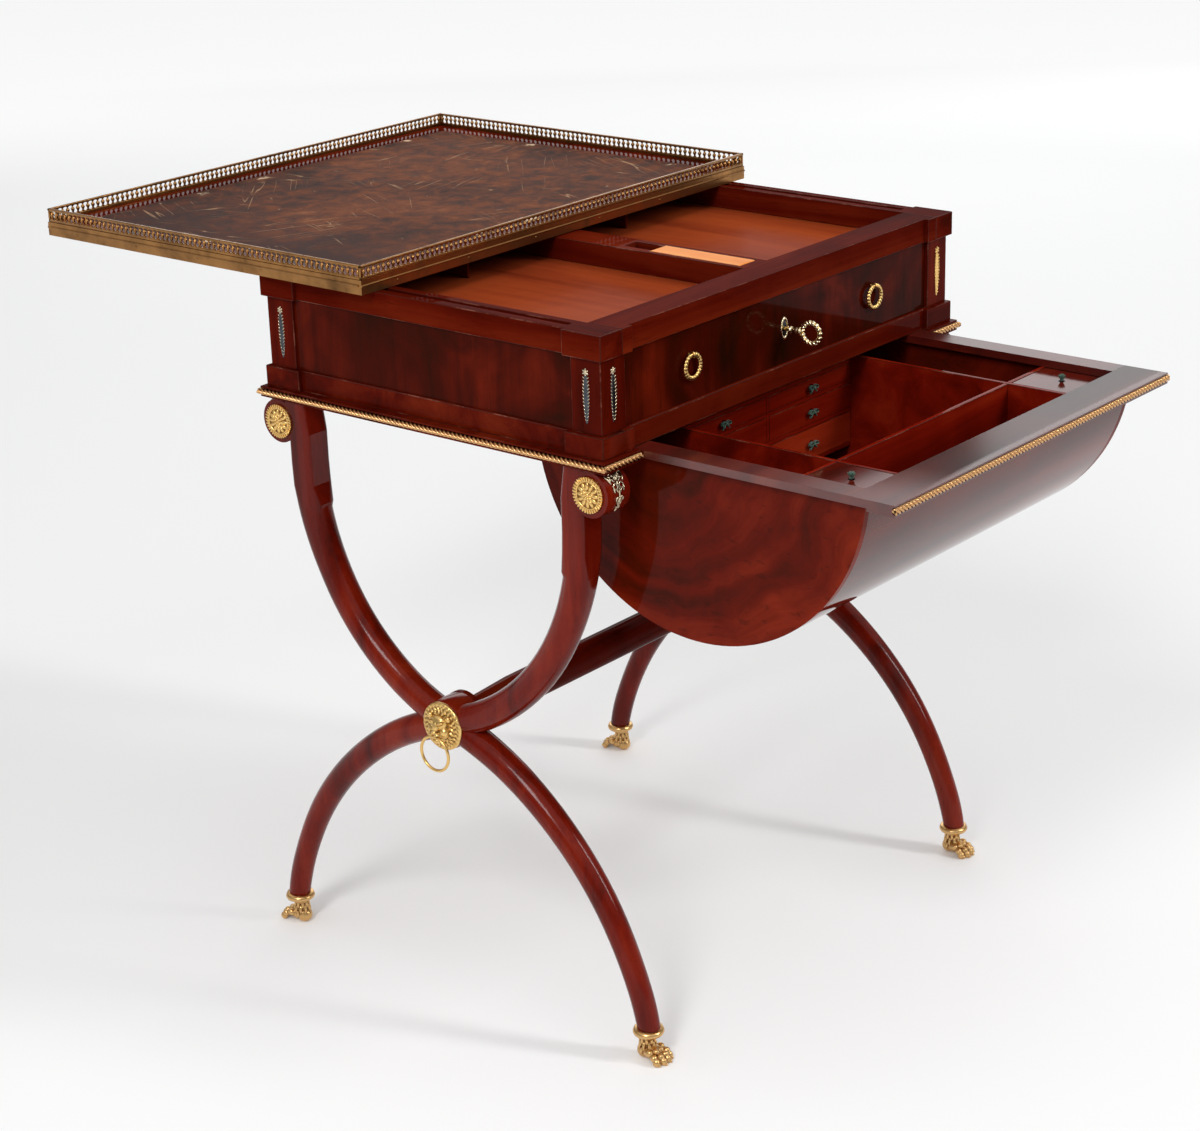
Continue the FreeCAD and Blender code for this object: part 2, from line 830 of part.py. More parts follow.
# Key: bit, shaft with a bead, and a ring bow standing upright
key_front = drawer_face - d.key_reach
key_end = drawer_back_of_front + d.bolt_depth - d.slide_gap
key = fuse(
    "key_piece",
    rod("key_stem", "Y", d.key_shaft, key_front, key_end - key_front, z=key_z),
    ball("key_bead", d.key_shaft * 1.7, 0, key_front, key_z),
    box(
        "key_flag",
        (-d.key_bit_thickness / 2, d.key_bit_thickness / 2),
        (drawer_back_of_front + d.slide_gap, key_end),
        (key_z - key_bit, key_z),
    ),
    hoop("key_ring", "X", d.key_bow, d.key_bow_wire, 0, key_front - d.key_bow - d.key_shaft, key_z),
)
node("key", [key])

# Ring pulls, each hanging in an eye on the drawer front
eye_half = d.eye_thickness / 2
eye_hole = d.ring_wire + d.eye_gap
rose = d.eye_rose_thickness
eye_out = drawer_face - eye_hole - d.eye_wall - 0.4
eye_z = z_plinth + d.ring_lift + d.ring_radius + d.eye_gap / 2
eye = cut(
    "ring_eye",
    fuse(
        "ring_eye_body",
        rod("eye_disc", "X", eye_hole + d.eye_wall, d.ring_place - eye_half, 2 * eye_half, y=eye_out, z=eye_z),
        rod("eye_stem", "Y", eye_half, eye_out, drawer_face - eye_out, x=d.ring_place, z=eye_z),
        rod("eye_rose", "Y", d.eye_rose_radius, drawer_face - rose, rose, x=d.ring_place, z=eye_z),
    ),
    rod("eye_bore", "X", eye_hole, d.ring_place - 2 * eye_half, 4 * eye_half, y=eye_out, z=eye_z),
)
node("ring_eyes", pair(eye))
for side, sign in (("left", -1), ("right", 1)):
    ring = hoop(
        f"{side}_ring",
        "Y",
        d.ring_radius,
        d.ring_wire,
        sign * d.ring_place,
        eye_out,
        eye_z - d.eye_gap / 2 - d.ring_radius,
    )
    node(f"{side}_pull_ring", [ring])

# Half-round box: round shell and ends under a flat frame
shell_z = z_base + d.box_centre_lift
frame_high = z_base - d.slide_gap
frame_low = frame_high - d.frame_thickness
frame_x = base_in - d.side_gap
end_x = frame_x - d.box_end_inset
end_x_in = end_x - d.box_end_thickness
shell_in = box_radius - d.box_wall
frame_y = base_y
frame_front_in = d.frame_front - frame_y
frame_side_in = frame_x - d.frame_side
frame_rear = front_in - d.side_gap
open_box = -1 * d.box_open


def under_frame(name, x):
    """Everything of the box that lies under its frame, between two planes across it."""
    return box(name, x, (-box_radius - OVER, box_radius + OVER), (shell_z - box_radius - OVER, frame_low))


shell = common(
    "shell",
    cut(
        "shell_tube",
        rod("shell_outside", "X", box_radius, -end_x_in, 2 * end_x_in, z=shell_z),
        rod("shell_inside", "X", shell_in, -end_x_in - OVER, 2 * end_x_in + 2 * OVER, z=shell_z),
    ),
    under_frame("shell_limit", (-end_x_in, end_x_in)),
)
node("box_shell", [shell], open_box)
round_end = common(
    "round_end",
    rod("end_disc", "X", box_radius, end_x_in, d.box_end_thickness, z=shell_z),
    under_frame("end_limit", (end_x_in, end_x)),
)
node("box_ends", pair(round_end), open_box)

frame_z = (frame_low, frame_high)
frame_front = cut(
    "frame_front_rail",
    fuse(
        "frame_front_body",
        box("frame_front_board", (-frame_x, frame_x), (-frame_y, frame_front_in), frame_z),
        box(
            "frame_front_lip",
            (-frame_x, frame_x),
            (-frame_y, d.frame_lip_width - frame_y),
            (frame_low - d.frame_lip, frame_low),
        ),
    ),
    rod("frame_rope_groove", "X", rope_seat, -frame_x - OVER, 2 * frame_x + 2 * OVER, y=-frame_y, z=rope_z),
)
frame_side = box("frame_side_rail", (frame_side_in, frame_x), (frame_front_in, frame_rear), frame_z)
frame_back = box(
    "frame_back_rail", (-frame_side_in, frame_side_in), (frame_rear - d.frame_back, frame_rear), frame_z
)
node("box_frame", [frame_front, frame_back] + pair(frame_side), open_box)
box_rope = rod("front_rope", "X", d.rope_radius, -frame_x, 2 * frame_x, y=-frame_y, z=rope_z)
node("box_rope", [box_rope], open_box)

# Dividers of the box, cut to the shell's inner curve
half_divider = d.box_divider / 2


def inside_shell(name, piece, x):
    low, high = as_size(x[0]), as_size(x[1])
    return common(name, piece, rod(name + "_bore", "X", shell_in, low, high - low, z=shell_z))


side_x = (end_x_in - d.corner_width - d.box_divider, end_x_in - d.corner_width)
long_y = (-d.long_divider_place - half_divider, half_divider - d.long_divider_place)
deep = (shell_z - shell_in, frame_low)
side_divider = inside_shell(
    "side_divider", box("side_divider_board", side_x, (-shell_in, shell_in), deep), side_x
)
long_middle = inside_shell(
    "long_divider", box("long_divider_board", (-side_x[0], side_x[0]), long_y, deep), (-side_x[0], side_x[0])
)
corner_x = (side_x[1], end_x_in)
long_end = inside_shell("end_divider", box("end_divider_board", corner_x, long_y, deep), corner_x)
node("box_dividers", pair(side_divider) + [long_middle] + pair(long_end), open_box)

# Front corner compartments: lids lying on ledges, each with a silk pull
lid_x = (side_x[1] + d.side_gap, frame_side_in - d.side_gap)
lid_y = (frame_front_in + d.side_gap, long_y[0] - d.side_gap)
lid_high = frame_low - d.slide_gap
lid_z = (lid_high - d.lid_thickness, lid_high)
ledge_z = (lid_z[0] - d.ledge, lid_z[0])
back_ledge = box("back_ledge", corner_x, (long_y[0] - d.ledge, long_y[0]), ledge_z)
front_ledge = inside_shell(
    "front_ledge", box("front_ledge_board", corner_x, (-shell_in, lid_y[0] + d.ledge), ledge_z), corner_x
)
node("lid_ledges", pair(back_ledge) + pair(front_ledge), open_box)
for side, sign in (("left", -1), ("right", 1)):
    ends = lid_x if sign > 0 else (-lid_x[1], -lid_x[0])
    board = box(f"{side}_lid_board", ends, lid_y, lid_z)
    tuft = rod(
        f"{side}_lid_silk",
        "Z",
        d.silk_radius,
        lid_high,
        d.silk_length,
        x=(ends[0] + ends[1]) / 2,
        y=(lid_y[0] + lid_y[1]) / 2,
    )
    node(f"{side}_lid", [board, tuft], open_box)

# Nest of small drawers across the back of the box
nest_x = side_x[0]
half_board = d.nest_board / 2
nest_y = (d.nest_front, shell_in)
level = frame_low - d.nest_top_drop
shelves = []
rows = []
for number, height in enumerate((d.upper_row_height, d.middle_row_height, d.lower_row_height)):
    shelf_z = (level - d.nest_board, level)
    shelf = box(f"shelf_board_{number}", (-nest_x, nest_x), nest_y, shelf_z)
    shelves.append(inside_shell(f"shelf_{number}", shelf, (-nest_x, nest_x)))
    wall_z = (shelf_z[0] - height, shelf_z[0])
    wall = box(f"wall_board_{number}", (-half_board, half_board), nest_y, wall_z)
    shelves.append(inside_shell(f"wall_{number}", wall, (-half_board, half_board)))
    rows.append(wall_z)
    level = wall_z[0]
floor_shelf = box("nest_floor_board", (-nest_x, nest_x), nest_y, (level - d.nest_board, level))
shelves.append(inside_shell("nest_floor", floor_shelf, (-nest_x, nest_x)))
node("drawer_nest", shelves, open_box)


def small_drawer(label, x, z):
    """A tray of five boards behind its front, with a silk pull."""
    reach = (shell_in * shell_in - (shell_z - z[0]) * (shell_z - z[0])).root() - d.side_gap
    x = (x[0] + d.slide_gap, x[1] - d.slide_gap)
    z = (z[0] + d.slide_gap, z[1] - d.slide_gap)
    inner = (x[0] + d.small_wall, x[1] - d.small_wall)
    behind = d.nest_front + d.small_front
    floor_top = z[0] + d.small_wall
    low_wall = (z[0], z[1] - 1.5)
    pieces = [
        box(label + "_front", x, (d.nest_front, behind), z),
        box(label + "_near", (x[0], inner[0]), (behind, reach), low_wall),
        box(label + "_far", (inner[1], x[1]), (behind, reach), low_wall),
        box(label + "_floor", inner, (behind, reach), (z[0], floor_top)),
        box(label + "_rear", inner, (reach - d.small_wall, reach), (floor_top, low_wall[1])),
        rod(
            label + "_silk",
            "Y",
            d.silk_radius,
            d.nest_front - d.silk_length,
            d.silk_length,
            x=(x[0] + x[1]) / 2,
            z=(z[0] + z[1]) / 2,
        ),
    ]
    node(label, pieces, open_box)


for name, row in zip(("upper", "middle", "lower"), rows):
    small_drawer(f"{name}_left_drawer", (-nest_x, -half_board), row)
    small_drawer(f"{name}_right_drawer", (half_board, nest_x), row)

# Runners under the base that carry the box's frame
track_x = (end_x + d.side_gap, end_x + d.side_gap + d.runner_width)
track_y = (frame_front_in + d.side_gap, front_in - d.side_gap)
track = fuse(
    "box_track",
    box("track_foot", track_x, track_y, (z_under - d.runner_thickness, z_under)),
    box("track_lip", (track_x[0], base_in), track_y, (z_under - d.runner_thickness, frame_low - d.slide_gap)),
)
node("box_runners", pair(track))

# X ends: two S-shaped legs halved together where they cross, each curling into a scroll
leg_top = base_y - d.stem_inset
scroll_y = leg_top + d.scroll_reach
scroll_z = z_under - d.scroll_radius - d.scroll_drop
cross_z = d.crossing_height.value
leg_x = leg_plane.value
lower = d.lower_radius.value
ankle = d.paw_height.value
stem_top = z_under.value
arc_rise = stem_top - d.stem_straight.value - cross_z
# The slope at the crossing that brings the upper arc upright under the case
angle = math.pi / 2 - 2 * math.atan(leg_top.value / arc_rise)
upper = arc_rise / math.cos(angle)


def leg_station(turn, radius, up):
    """A point of the leg's centre line and its slope, for one of its two arcs."""
    across = radius * (math.sin(turn) - math.sin(angle))
    rise = radius * (math.cos(angle) - math.cos(turn))
    sign = 1 if up else -1
    return Vector(leg_x, sign * across, cross_z + sign * rise), Vector(0, math.cos(turn), math.sin(turn))


def section(centre, slope, radius, grow):
    return Part.Wire(Part.makeCircle(radius + grow, centre, slope))


def squared_section(centre, slope, half_x, half_y, corner, grow):
    """A rectangle with rounded corners, square to the leg's centre line."""
    aside = Vector(1, 0, 0)
    across = slope.cross(aside).normalize()
    reach_x = half_x + grow
    reach_y = half_y + grow
    bend = corner * (1 - math.sqrt(0.5))

    def at(u, v):
        return centre + aside * u + across * v

    turns = []
    for sign_x, sign_y in ((1, 1), (-1, 1), (-1, -1), (1, -1)):
        beside = at(sign_x * reach_x, sign_y * (reach_y - corner))
        above = at(sign_x * (reach_x - corner), sign_y * reach_y)
        middle = at(sign_x * (reach_x - bend), sign_y * (reach_y - bend))
        turns.append((beside, middle, above) if sign_x == sign_y else (above, middle, beside))
    edges = []
    for number, (start, middle, end) in enumerate(turns):
        edges.append(Part.makeLine(turns[number - 1][2], start))
        edges.append(Part.Arc(start, middle, end).toShape())
    return Part.Wire(edges)


def leg_solid(grow=0.0):
    """A leg at the right end with its foot in front; grow thickens it for the halving cut."""
    foot_turn = math.acos(math.cos(angle) - (cross_z - ankle + 8) / lower)
    mid = d.leg_crossing_radius.value
    thin = d.leg_foot_radius.value
    thick = d.leg_top_radius.value
    top_point, upright = leg_station(math.pi / 2, upper, True)
    stem_turn = math.acos((top_point.z - (stem_top - d.stem_height.value)) / upper)
    rings = []
    for step in range(6, 0, -1):
        part = step / 6
        point, slope = leg_station(angle + (foot_turn - angle) * part, lower, False)
        rings.append(section(point, slope, mid + (thin - mid) * part, grow))
    for step in range(0, 7):
        part = step / 6
        point, slope = leg_station(angle + (stem_turn - angle) * part, upper, True)
        rings.append(section(point, slope, mid + (thick - mid) * part, grow))
    limb = Part.makeLoft(rings, True, False)

    # The round leg turns into a squared stem that leans out to its scroll
    half_x = d.stem_width.value / 2
    half_y = d.stem_depth.value / 2
    corner = d.stem_corner.value
    root, root_slope = leg_station(stem_turn - thick / 2 / upper, upper, True)
    stop, stop_slope = leg_station(stem_turn, upper, True)
    neck, neck_slope = leg_station((stem_turn + math.pi / 2) / 2, upper, True)
    straight = Vector(0, 0, d.stem_straight.value / 2)
    crown = top_point + straight * 2 + Vector(0, d.stem_lean.value, 0)
    squares = [
        squared_section(root, root_slope, thick * 0.9, thick * 0.9, thick * 0.8, grow),
        squared_section(stop, stop_slope, thick * 1.03, thick * 1.03, thick * 0.8, grow),
        squared_section(neck, neck_slope, half_x, half_y, corner, grow),
        squared_section(top_point, upright, half_x, half_y, corner, grow),
        squared_section(top_point + straight, upright, half_x, half_y, corner, grow),
        squared_section(crown, upright, half_x, half_y, corner, grow),
    ]
    stem = Part.makeLoft(squares, True, True)
    scroll_mid = Vector(leg_x - half_x - grow, scroll_y.value, scroll_z.value)
    scroll = Part.makeCylinder(d.scroll_radius.value + grow, 2 * (half_x + grow), scroll_mid, Vector(1, 0, 0))
    foot, _ = leg_station(foot_turn, lower, False)
    room = 5 * thick
    foot_cut = Part.makeBox(2 * room, 2 * room, ankle, Vector(leg_x - room, foot.y - room, 0))
    return limb.fuse([stem, scroll]).cut(foot_cut).removeSplitter()


seat = d.leg_crossing_radius.value - d.crossing_seat.value
hub_seat = leg_x - seat
mask_seat = leg_x + seat


def half_space(low_x, high_x):
    reach = 10 * d.leg_crossing_radius.value
    return Part.makeBox(high_x - low_x, 2 * reach, 2 * reach, Vector(low_x, -reach, cross_z - reach))


def crossing_bores():
    """Flat seats for the stretcher's hub and the mask, and the bore of the tenon."""
    middle = Vector(0, 0, cross_z)
    along = Vector(1, 0, 0)
    hub = Part.makeCylinder(d.hub_radius.value + 0.1, hub_seat, middle, along)
    mask = Part.makeCylinder(d.mask_radius.value + 0.1, leg_x, middle + along * mask_seat, along)
    tenon = Part.makeCylinder(d.stretcher_tenon.value, mask_seat - d.tenon_cover.value, middle, along)
    return hub.fuse([mask, tenon])


def flipped(shape, normal):
    return shape.mirror(Vector(0, 0, 0), normal)


bores = crossing_bores()
plain_leg = leg_solid()
thick_leg = leg_solid(0.15)
outer_half = half_space(leg_x, 2 * leg_x)
inner_half = half_space(0, leg_x)
across_y = Vector(0, 1, 0)
across_x = Vector(1, 0, 0)
front_leg = plain_leg.cut(flipped(thick_leg, across_y).common(outer_half)).cut(bores)
back_leg = flipped(plain_leg, across_y).cut(thick_leg.common(inner_half)).cut(bores)
for end, legs in (("front", front_leg), ("back", back_leg)):
    shape_node(f"right_{end}_leg", legs)
    shape_node(f"left_{end}_leg", flipped(legs, across_x))

# Turned stretcher, tenoned into the crossings
hub_x = leg_plane - d.leg_crossing_radius + d.crossing_seat
mask_x = leg_plane + d.leg_crossing_radius - d.crossing_seat
tenon_x = mask_x - d.tenon_cover - d.tenon_end_gap
rod_r = d.stretcher_radius
half_profile = [
    (tenon_x, d.stretcher_tenon),
    (hub_x, d.stretcher_tenon),
    (hub_x, d.hub_radius * 0.92),
    (hub_x - d.hub_length * 0.25, d.hub_radius),
    (hub_x - d.hub_length * 0.65, d.hub_radius),
    (hub_x - d.hub_length, d.hub_radius * 0.86),
    (hub_x - d.hub_length, rod_r * 0.8),
    (hub_x - d.hub_length - d.stretcher_swell, rod_r),
]
profile = [(tenon_x, 0)] + half_profile + [(-x, r) for x, r in reversed(half_profile)] + [(-tenon_x, 0)]
node("stretcher", [turned("stretcher_rod", profile, z=d.crossing_height)])

# Gilt mounts of the ends: scroll roundels, palmettes and lion masks with rings
scroll_face = leg_plane + d.stem_width / 2
rr = d.roundel_radius
roundel = turned(
    "roundel",
    [
        (scroll_face, 0),
        (scroll_face, rr),
        (scroll_face + 2.6, rr),
        (scroll_face + 3.4, rr * 0.92),
        (scroll_face + 2.6, rr * 0.8),
        (scroll_face + 1.4, rr * 0.74),
        (scroll_face + 2.8, rr * 0.4),
        (scroll_face + 3.6, rr * 0.26),
        (scroll_face + 4, 0),
    ],
    z=scroll_z,
    y=scroll_y,
)
node("scroll_roundels", four(roundel))


def scroll_arc(name, radius, start, length):
    obj = rod(name, "X", radius, start, length, y=scroll_y, z=scroll_z)
    obj.Angle = 120
    turned_to_front = Rotation(Vector(1, 0, 0), 38)
    obj.Placement.Rotation = turned_to_front.multiply(TURN["X"])
    return obj


palmette_x = leg_plane - d.palmette_width / 2
palmette_in = d.scroll_radius + 0.1
palmette = cut(
    "palmette",
    scroll_arc("palmette_outside", palmette_in + d.palmette_thickness, palmette_x, d.palmette_width),
    rod(
        "palmette_inside",
        "X",
        palmette_in,
        palmette_x - OVER,
        d.palmette_width + 2 * OVER,
        y=scroll_y,
        z=scroll_z,
    ),
)
node("scroll_palmettes", four(palmette))

mr = d.mask_radius
lion_eye_x = mask_x + d.lion_eye_reach
lion_eye_z = d.crossing_height - d.lion_eye_drop
lion_hole = d.lion_ring_wire + d.eye_gap
mask = cut(
    "lion_mask",
    fuse(
        "mask_body",
        turned(
            "mask_disc",
            [
                (mask_x, 0),
                (mask_x, mr),
                (mask_x + 2.5, mr),
                (mask_x + 4, mr * 0.94),
                (mask_x + 3, mr * 0.84),
                (mask_x + 6.5, mr * 0.7),
                (mask_x + 9.5, mr * 0.48),
                (mask_x + 11.5, mr * 0.25),
                (mask_x + 12, 0),
            ],
            z=d.crossing_height,
        ),
        rod("mask_muzzle", "Y", lion_hole + 2, -eye_half, 2 * eye_half, x=lion_eye_x, z=lion_eye_z),
        rod("mask_tongue", "X", eye_half, mask_x + 4, 11 - lion_hole, z=lion_eye_z),
    ),
    rod("mask_bore", "Y", lion_hole, -2 * eye_half, 4 * eye_half, x=lion_eye_x, z=lion_eye_z),
)
node("lion_masks", pair(mask))
for side, sign in (("left", -1), ("right", 1)):
    lion_ring = hoop(
        f"{side}_mask_ring",
        "X",
        d.lion_ring_radius,
        d.lion_ring_wire,
        sign * lion_eye_x,
        0,
        lion_eye_z - d.eye_gap / 2 - d.lion_ring_radius,
    )
    node(f"{side}_lion_ring", [lion_ring])

# Gilt paw feet, toes pointing outwards to front and back
ankle_point, ankle_slope = leg_station(math.acos(math.cos(angle) - (cross_z - ankle) / lower), lower, False)
foot_reach = -ankle_point.y
collar = d.leg_foot_radius
toe = d.paw_toe
heel = d.paw_heel
toe_row = (d.paw_width - 2 * toe) / 3
collar_low = d.paw_height - 8
paw_pieces = [
    rod("paw_collar", "Z", collar + 1, collar_low, 8, x=leg_plane, y=foot_reach),
    hoop("paw_torus", "Z", collar + 0.6, 4, leg_plane, foot_reach, d.paw_height - 4),
    cone("paw_ankle", heel * 0.95, heel * 0.8, leg_plane, foot_reach, (heel, collar_low)),
    ball("paw_heel_ball", heel, leg_plane, foot_reach - heel * 0.4, heel * 0.8),
    rod("paw_instep", "Y", heel, foot_reach - heel * 0.4, heel * 1.9, x=leg_plane, z=heel * 0.8),
]
for number, drop in enumerate((3.5, 0.5, 0.5, 3.5)):
    toe_x = leg_plane - d.paw_width / 2 + toe + toe_row * number
    paw_pieces.append(ball(f"paw_toe_{number}", toe, toe_x, foot_reach + heel * 1.8 - drop, toe - 0.6))
paw_x = (leg_plane - 2 * d.paw_width, leg_plane + 2 * d.paw_width)
paw_y = (foot_reach - 2 * d.paw_width, foot_reach + 2 * d.paw_width)
paw = cut(
    "paw",
    fuse("paw_body", *paw_pieces),
    box("paw_floor", paw_x, paw_y, (-d.paw_height, 0)),
)
node("paw_feet", four(paw))

doc.recompute()

# Every object has to be sound before anything is written
for obj in doc.Objects:
    if "Invalid" in obj.State or "Error" in obj.State:
        raise RuntimeError(f"{obj.Label}: {obj.State}")
for obj in nodes:
    if obj.Shape.isNull() or not obj.Shape.isValid() or not obj.Shape.Solids:
        raise RuntimeError(f"{obj.Label}: no sound solid")

os.makedirs("parts", exist_ok=True)
for obj in nodes:
    obj.Shape.exportStep(f"parts/{obj.Label}.step")
print(f"{len(nodes)} sub-parts written")
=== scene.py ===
# %% [markdown]
# A writing table on two X-shaped ends, shown as it was photographed: the galleried top is slid
# back over its well and the half-round box is drawn out below the frieze drawer.
# The construction model comes in first as a fixed frame. Everything below gives it finishes, or
# puts carved, cast and woven pieces where the construction model has only their plain forms.

# %% The frame
import json
import math

import bpy
from mathutils import Matrix, Vector

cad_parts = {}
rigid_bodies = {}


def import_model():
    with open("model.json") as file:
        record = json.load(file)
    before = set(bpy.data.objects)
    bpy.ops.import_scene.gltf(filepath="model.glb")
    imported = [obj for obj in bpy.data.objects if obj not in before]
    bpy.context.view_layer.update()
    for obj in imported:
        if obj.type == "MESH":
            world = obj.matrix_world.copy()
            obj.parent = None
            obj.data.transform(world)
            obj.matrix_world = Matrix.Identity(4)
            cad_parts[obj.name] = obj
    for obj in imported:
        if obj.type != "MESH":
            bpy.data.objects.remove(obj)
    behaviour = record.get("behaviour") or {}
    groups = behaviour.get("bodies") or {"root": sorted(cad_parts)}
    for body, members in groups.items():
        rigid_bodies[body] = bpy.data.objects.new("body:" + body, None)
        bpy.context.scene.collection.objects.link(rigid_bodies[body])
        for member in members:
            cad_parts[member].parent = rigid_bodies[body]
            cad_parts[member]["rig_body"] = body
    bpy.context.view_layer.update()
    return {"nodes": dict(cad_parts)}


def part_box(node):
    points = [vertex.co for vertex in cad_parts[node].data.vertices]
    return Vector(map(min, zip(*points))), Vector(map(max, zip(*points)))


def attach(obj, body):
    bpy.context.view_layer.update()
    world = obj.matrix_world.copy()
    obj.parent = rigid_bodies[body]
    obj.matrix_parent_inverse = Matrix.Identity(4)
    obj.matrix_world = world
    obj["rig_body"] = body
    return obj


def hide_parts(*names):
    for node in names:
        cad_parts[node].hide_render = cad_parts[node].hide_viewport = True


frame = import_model()
nodes = frame["nodes"]
MM = 0.001

# %% [markdown]
# The camera stands where the photographer's did. Its place and its three angles were found by
# matching the table's corners to the photograph, so they are written here as plain values.
# A camera looks down its own -Z, so it is tipped up by a quarter turn before yaw and pitch count.

# %% Camera
CAMERA_PLACE = Vector((-2.0822, -1.7241, 1.3940))
CAMERA_YAW, CAMERA_PITCH, CAMERA_ROLL = -0.8736, -0.357, -0.031
LENS_MM, SENSOR_MM, LENS_SHIFT = 79.5, 36, -0.0034

lens = bpy.data.cameras.new("viewpoint")
lens.lens = LENS_MM
lens.sensor_width = SENSOR_MM
lens.shift_x = LENS_SHIFT
camera = bpy.data.objects.new("viewpoint", lens)
bpy.context.scene.collection.objects.link(camera)
camera.matrix_world = (
    Matrix.Translation(CAMERA_PLACE)
    @ Matrix.Rotation(CAMERA_YAW, 4, "Z")
    @ Matrix.Rotation(math.pi / 2 + CAMERA_PITCH, 4, "X")
    @ Matrix.Rotation(CAMERA_ROLL, 4, "Z")
)
bpy.context.scene.camera = camera
bpy.context.scene.view_settings.view_transform = "Standard"
print("camera at", tuple(round(v, 3) for v in camera.location))

# %% [markdown]
# Shader maths reads best as ordinary arithmetic. A Signal holds one output of a node, and adding
# or multiplying signals adds the Math nodes that do it. Every other kind of node comes from node().

# %% Shader arithmetic
def set_stops(ramp, stops):
    """Puts (place, colour) stops on a colour ramp."""
    while len(ramp.elements) < len(stops):
        ramp.elements.new(0.5)
    for element, (place, colour) in zip(ramp.elements, stops):
        element.position = place
        element.color = (*colour, 1)


class Signal:
    """One output of a shader node; arithmetic on signals adds Math nodes to its tree."""

    def __init__(self, tree, socket):
        self.tree = tree
        self.socket = socket

    def node(self, kind, settings=None, sockets=None, output=0):
        """A node of any kind: first its settings, then the values or links of its sockets."""
        made = self.tree.nodes.new(kind)
        for name, value in (settings or {}).items():
            if name == "stops":
                set_stops(made.color_ramp, value)
            else:
                setattr(made, name, value)
        for name, value in (sockets or {}).items():
            self.fill(made.inputs[name], value)
        return Signal(self.tree, made.outputs[output])

    def fill(self, target, value):
        """Links a signal to a socket, or sets the socket to a plain value."""
        if isinstance(value, Signal):
            self.tree.links.new(value.socket, target)
        else:
            target.default_value = value

    def maths(self, operation, first, second):
        """A Math node on two values or signals."""
        return self.node("ShaderNodeMath", {"operation": operation}, {0: first, 1: second})

    def __add__(self, other):
        return self.maths("ADD", self, other)

    __radd__ = __add__

    def __sub__(self, other):
        return self.maths("SUBTRACT", self, other)

    def __rsub__(self, other):
        return self.maths("SUBTRACT", other, self)

    def __mul__(self, other):
        return self.maths("MULTIPLY", self, other)

    __rmul__ = __mul__


print("shader arithmetic ready")

# %% [markdown]
# A few kinds of node come back in every finish: stretched coordinates, noise, a colour ramp, a mask
# with soft limits, a blend of two colours, and a bump. Each gets a short function, so that a finish
# below reads as a recipe. All of them work on the piece's own Object coordinates, so a pattern stays
# on its board when a drawer slides.

# %% Shader recipes
def new_finish(name):
    """A material, its shader, and the piece's own coordinates as a signal."""
    material = bpy.data.materials.new(name)
    material.use_nodes = True
    tree = material.node_tree
    coords = tree.nodes.new("ShaderNodeTexCoord")
    return material, tree.nodes["Principled BSDF"], Signal(tree, coords.outputs["Object"])


def stretched(place, scale, turn=(0, 0, 0), move=(0, 0, 0)):
    """Coordinates that are scaled, turned and moved before a pattern reads them."""
    sockets = {"Vector": place, "Scale": scale, "Rotation": turn, "Location": move}
    return place.node("ShaderNodeMapping", {}, sockets)


def noise(place, scale, detail=3.0, roughness=0.5, distortion=0.0):
    """A cloudy pattern between 0 and 1."""
    sockets = {
        "Vector": place, "Scale": scale, "Detail": detail,
        "Roughness": roughness, "Distortion": distortion,
    }
    return place.node("ShaderNodeTexNoise", {}, sockets)


def ramp(value, *stops):
    """A colour for each value, blended between (place, colour) stops."""
    return value.node("ShaderNodeValToRGB", {"stops": stops}, {"Fac": value})


def level(value, low, high):
    """0 below low, 1 above high, and a smooth rise between."""
    sockets = {"Value": value, "From Min": low, "From Max": high}
    return value.node("ShaderNodeMapRange", {"interpolation_type": "SMOOTHSTEP"}, sockets)


def tint(colour):
    """A plain colour gets its alpha; a signal stays as it is."""
    return colour if isinstance(colour, Signal) else (*colour, 1)


def mix(factor, first, second):
    """A blend of two colours."""
    wires = {0: factor, 6: tint(first), 7: tint(second)}
    return factor.node("ShaderNodeMix", {"data_type": "RGBA"}, wires, output=2)


def bump(height, strength, distance):
    """A height pattern as a small change of the surface's slope."""
    sockets = {"Height": height, "Strength": strength, "Distance": distance}
    return height.node("ShaderNodeBump", {}, sockets)


print("shader recipes ready")

# %% [markdown]
# The table is solid and veneered mahogany under a deep polish. Real mahogany shows bands of lighter
# and darker red along its grain, broad cloudy patches, and thousands of short dark pores. One function
# makes it for each grain direction, because grain follows the longer side of a board. The polish is
# the shader's coat: a clear, smooth layer over a slightly rougher wood.

# %% Mahogany
DARK_RED, MID_RED, WARM_RED = (0.024, 0.0018, 0.0006), (0.088, 0.0050, 0.0014), (0.165, 0.0165, 0.0042)
GRAIN = {"X": (1.2, 22, 22), "Y": (22, 1.2, 22), "Z": (22, 22, 1.2)}
PORE_DEPTH = 0.2 * MM


def polished(shader, coat, polish, blur):
    """A clear polish: how much of it there is, how strongly it mirrors and how softly."""
    shader.inputs["Coat Weight"].default_value = coat
    shader.inputs["Coat IOR"].default_value = polish
    shader.inputs["Coat Roughness"].default_value = blur
    shader.inputs["Specular IOR Level"].default_value = 0.0


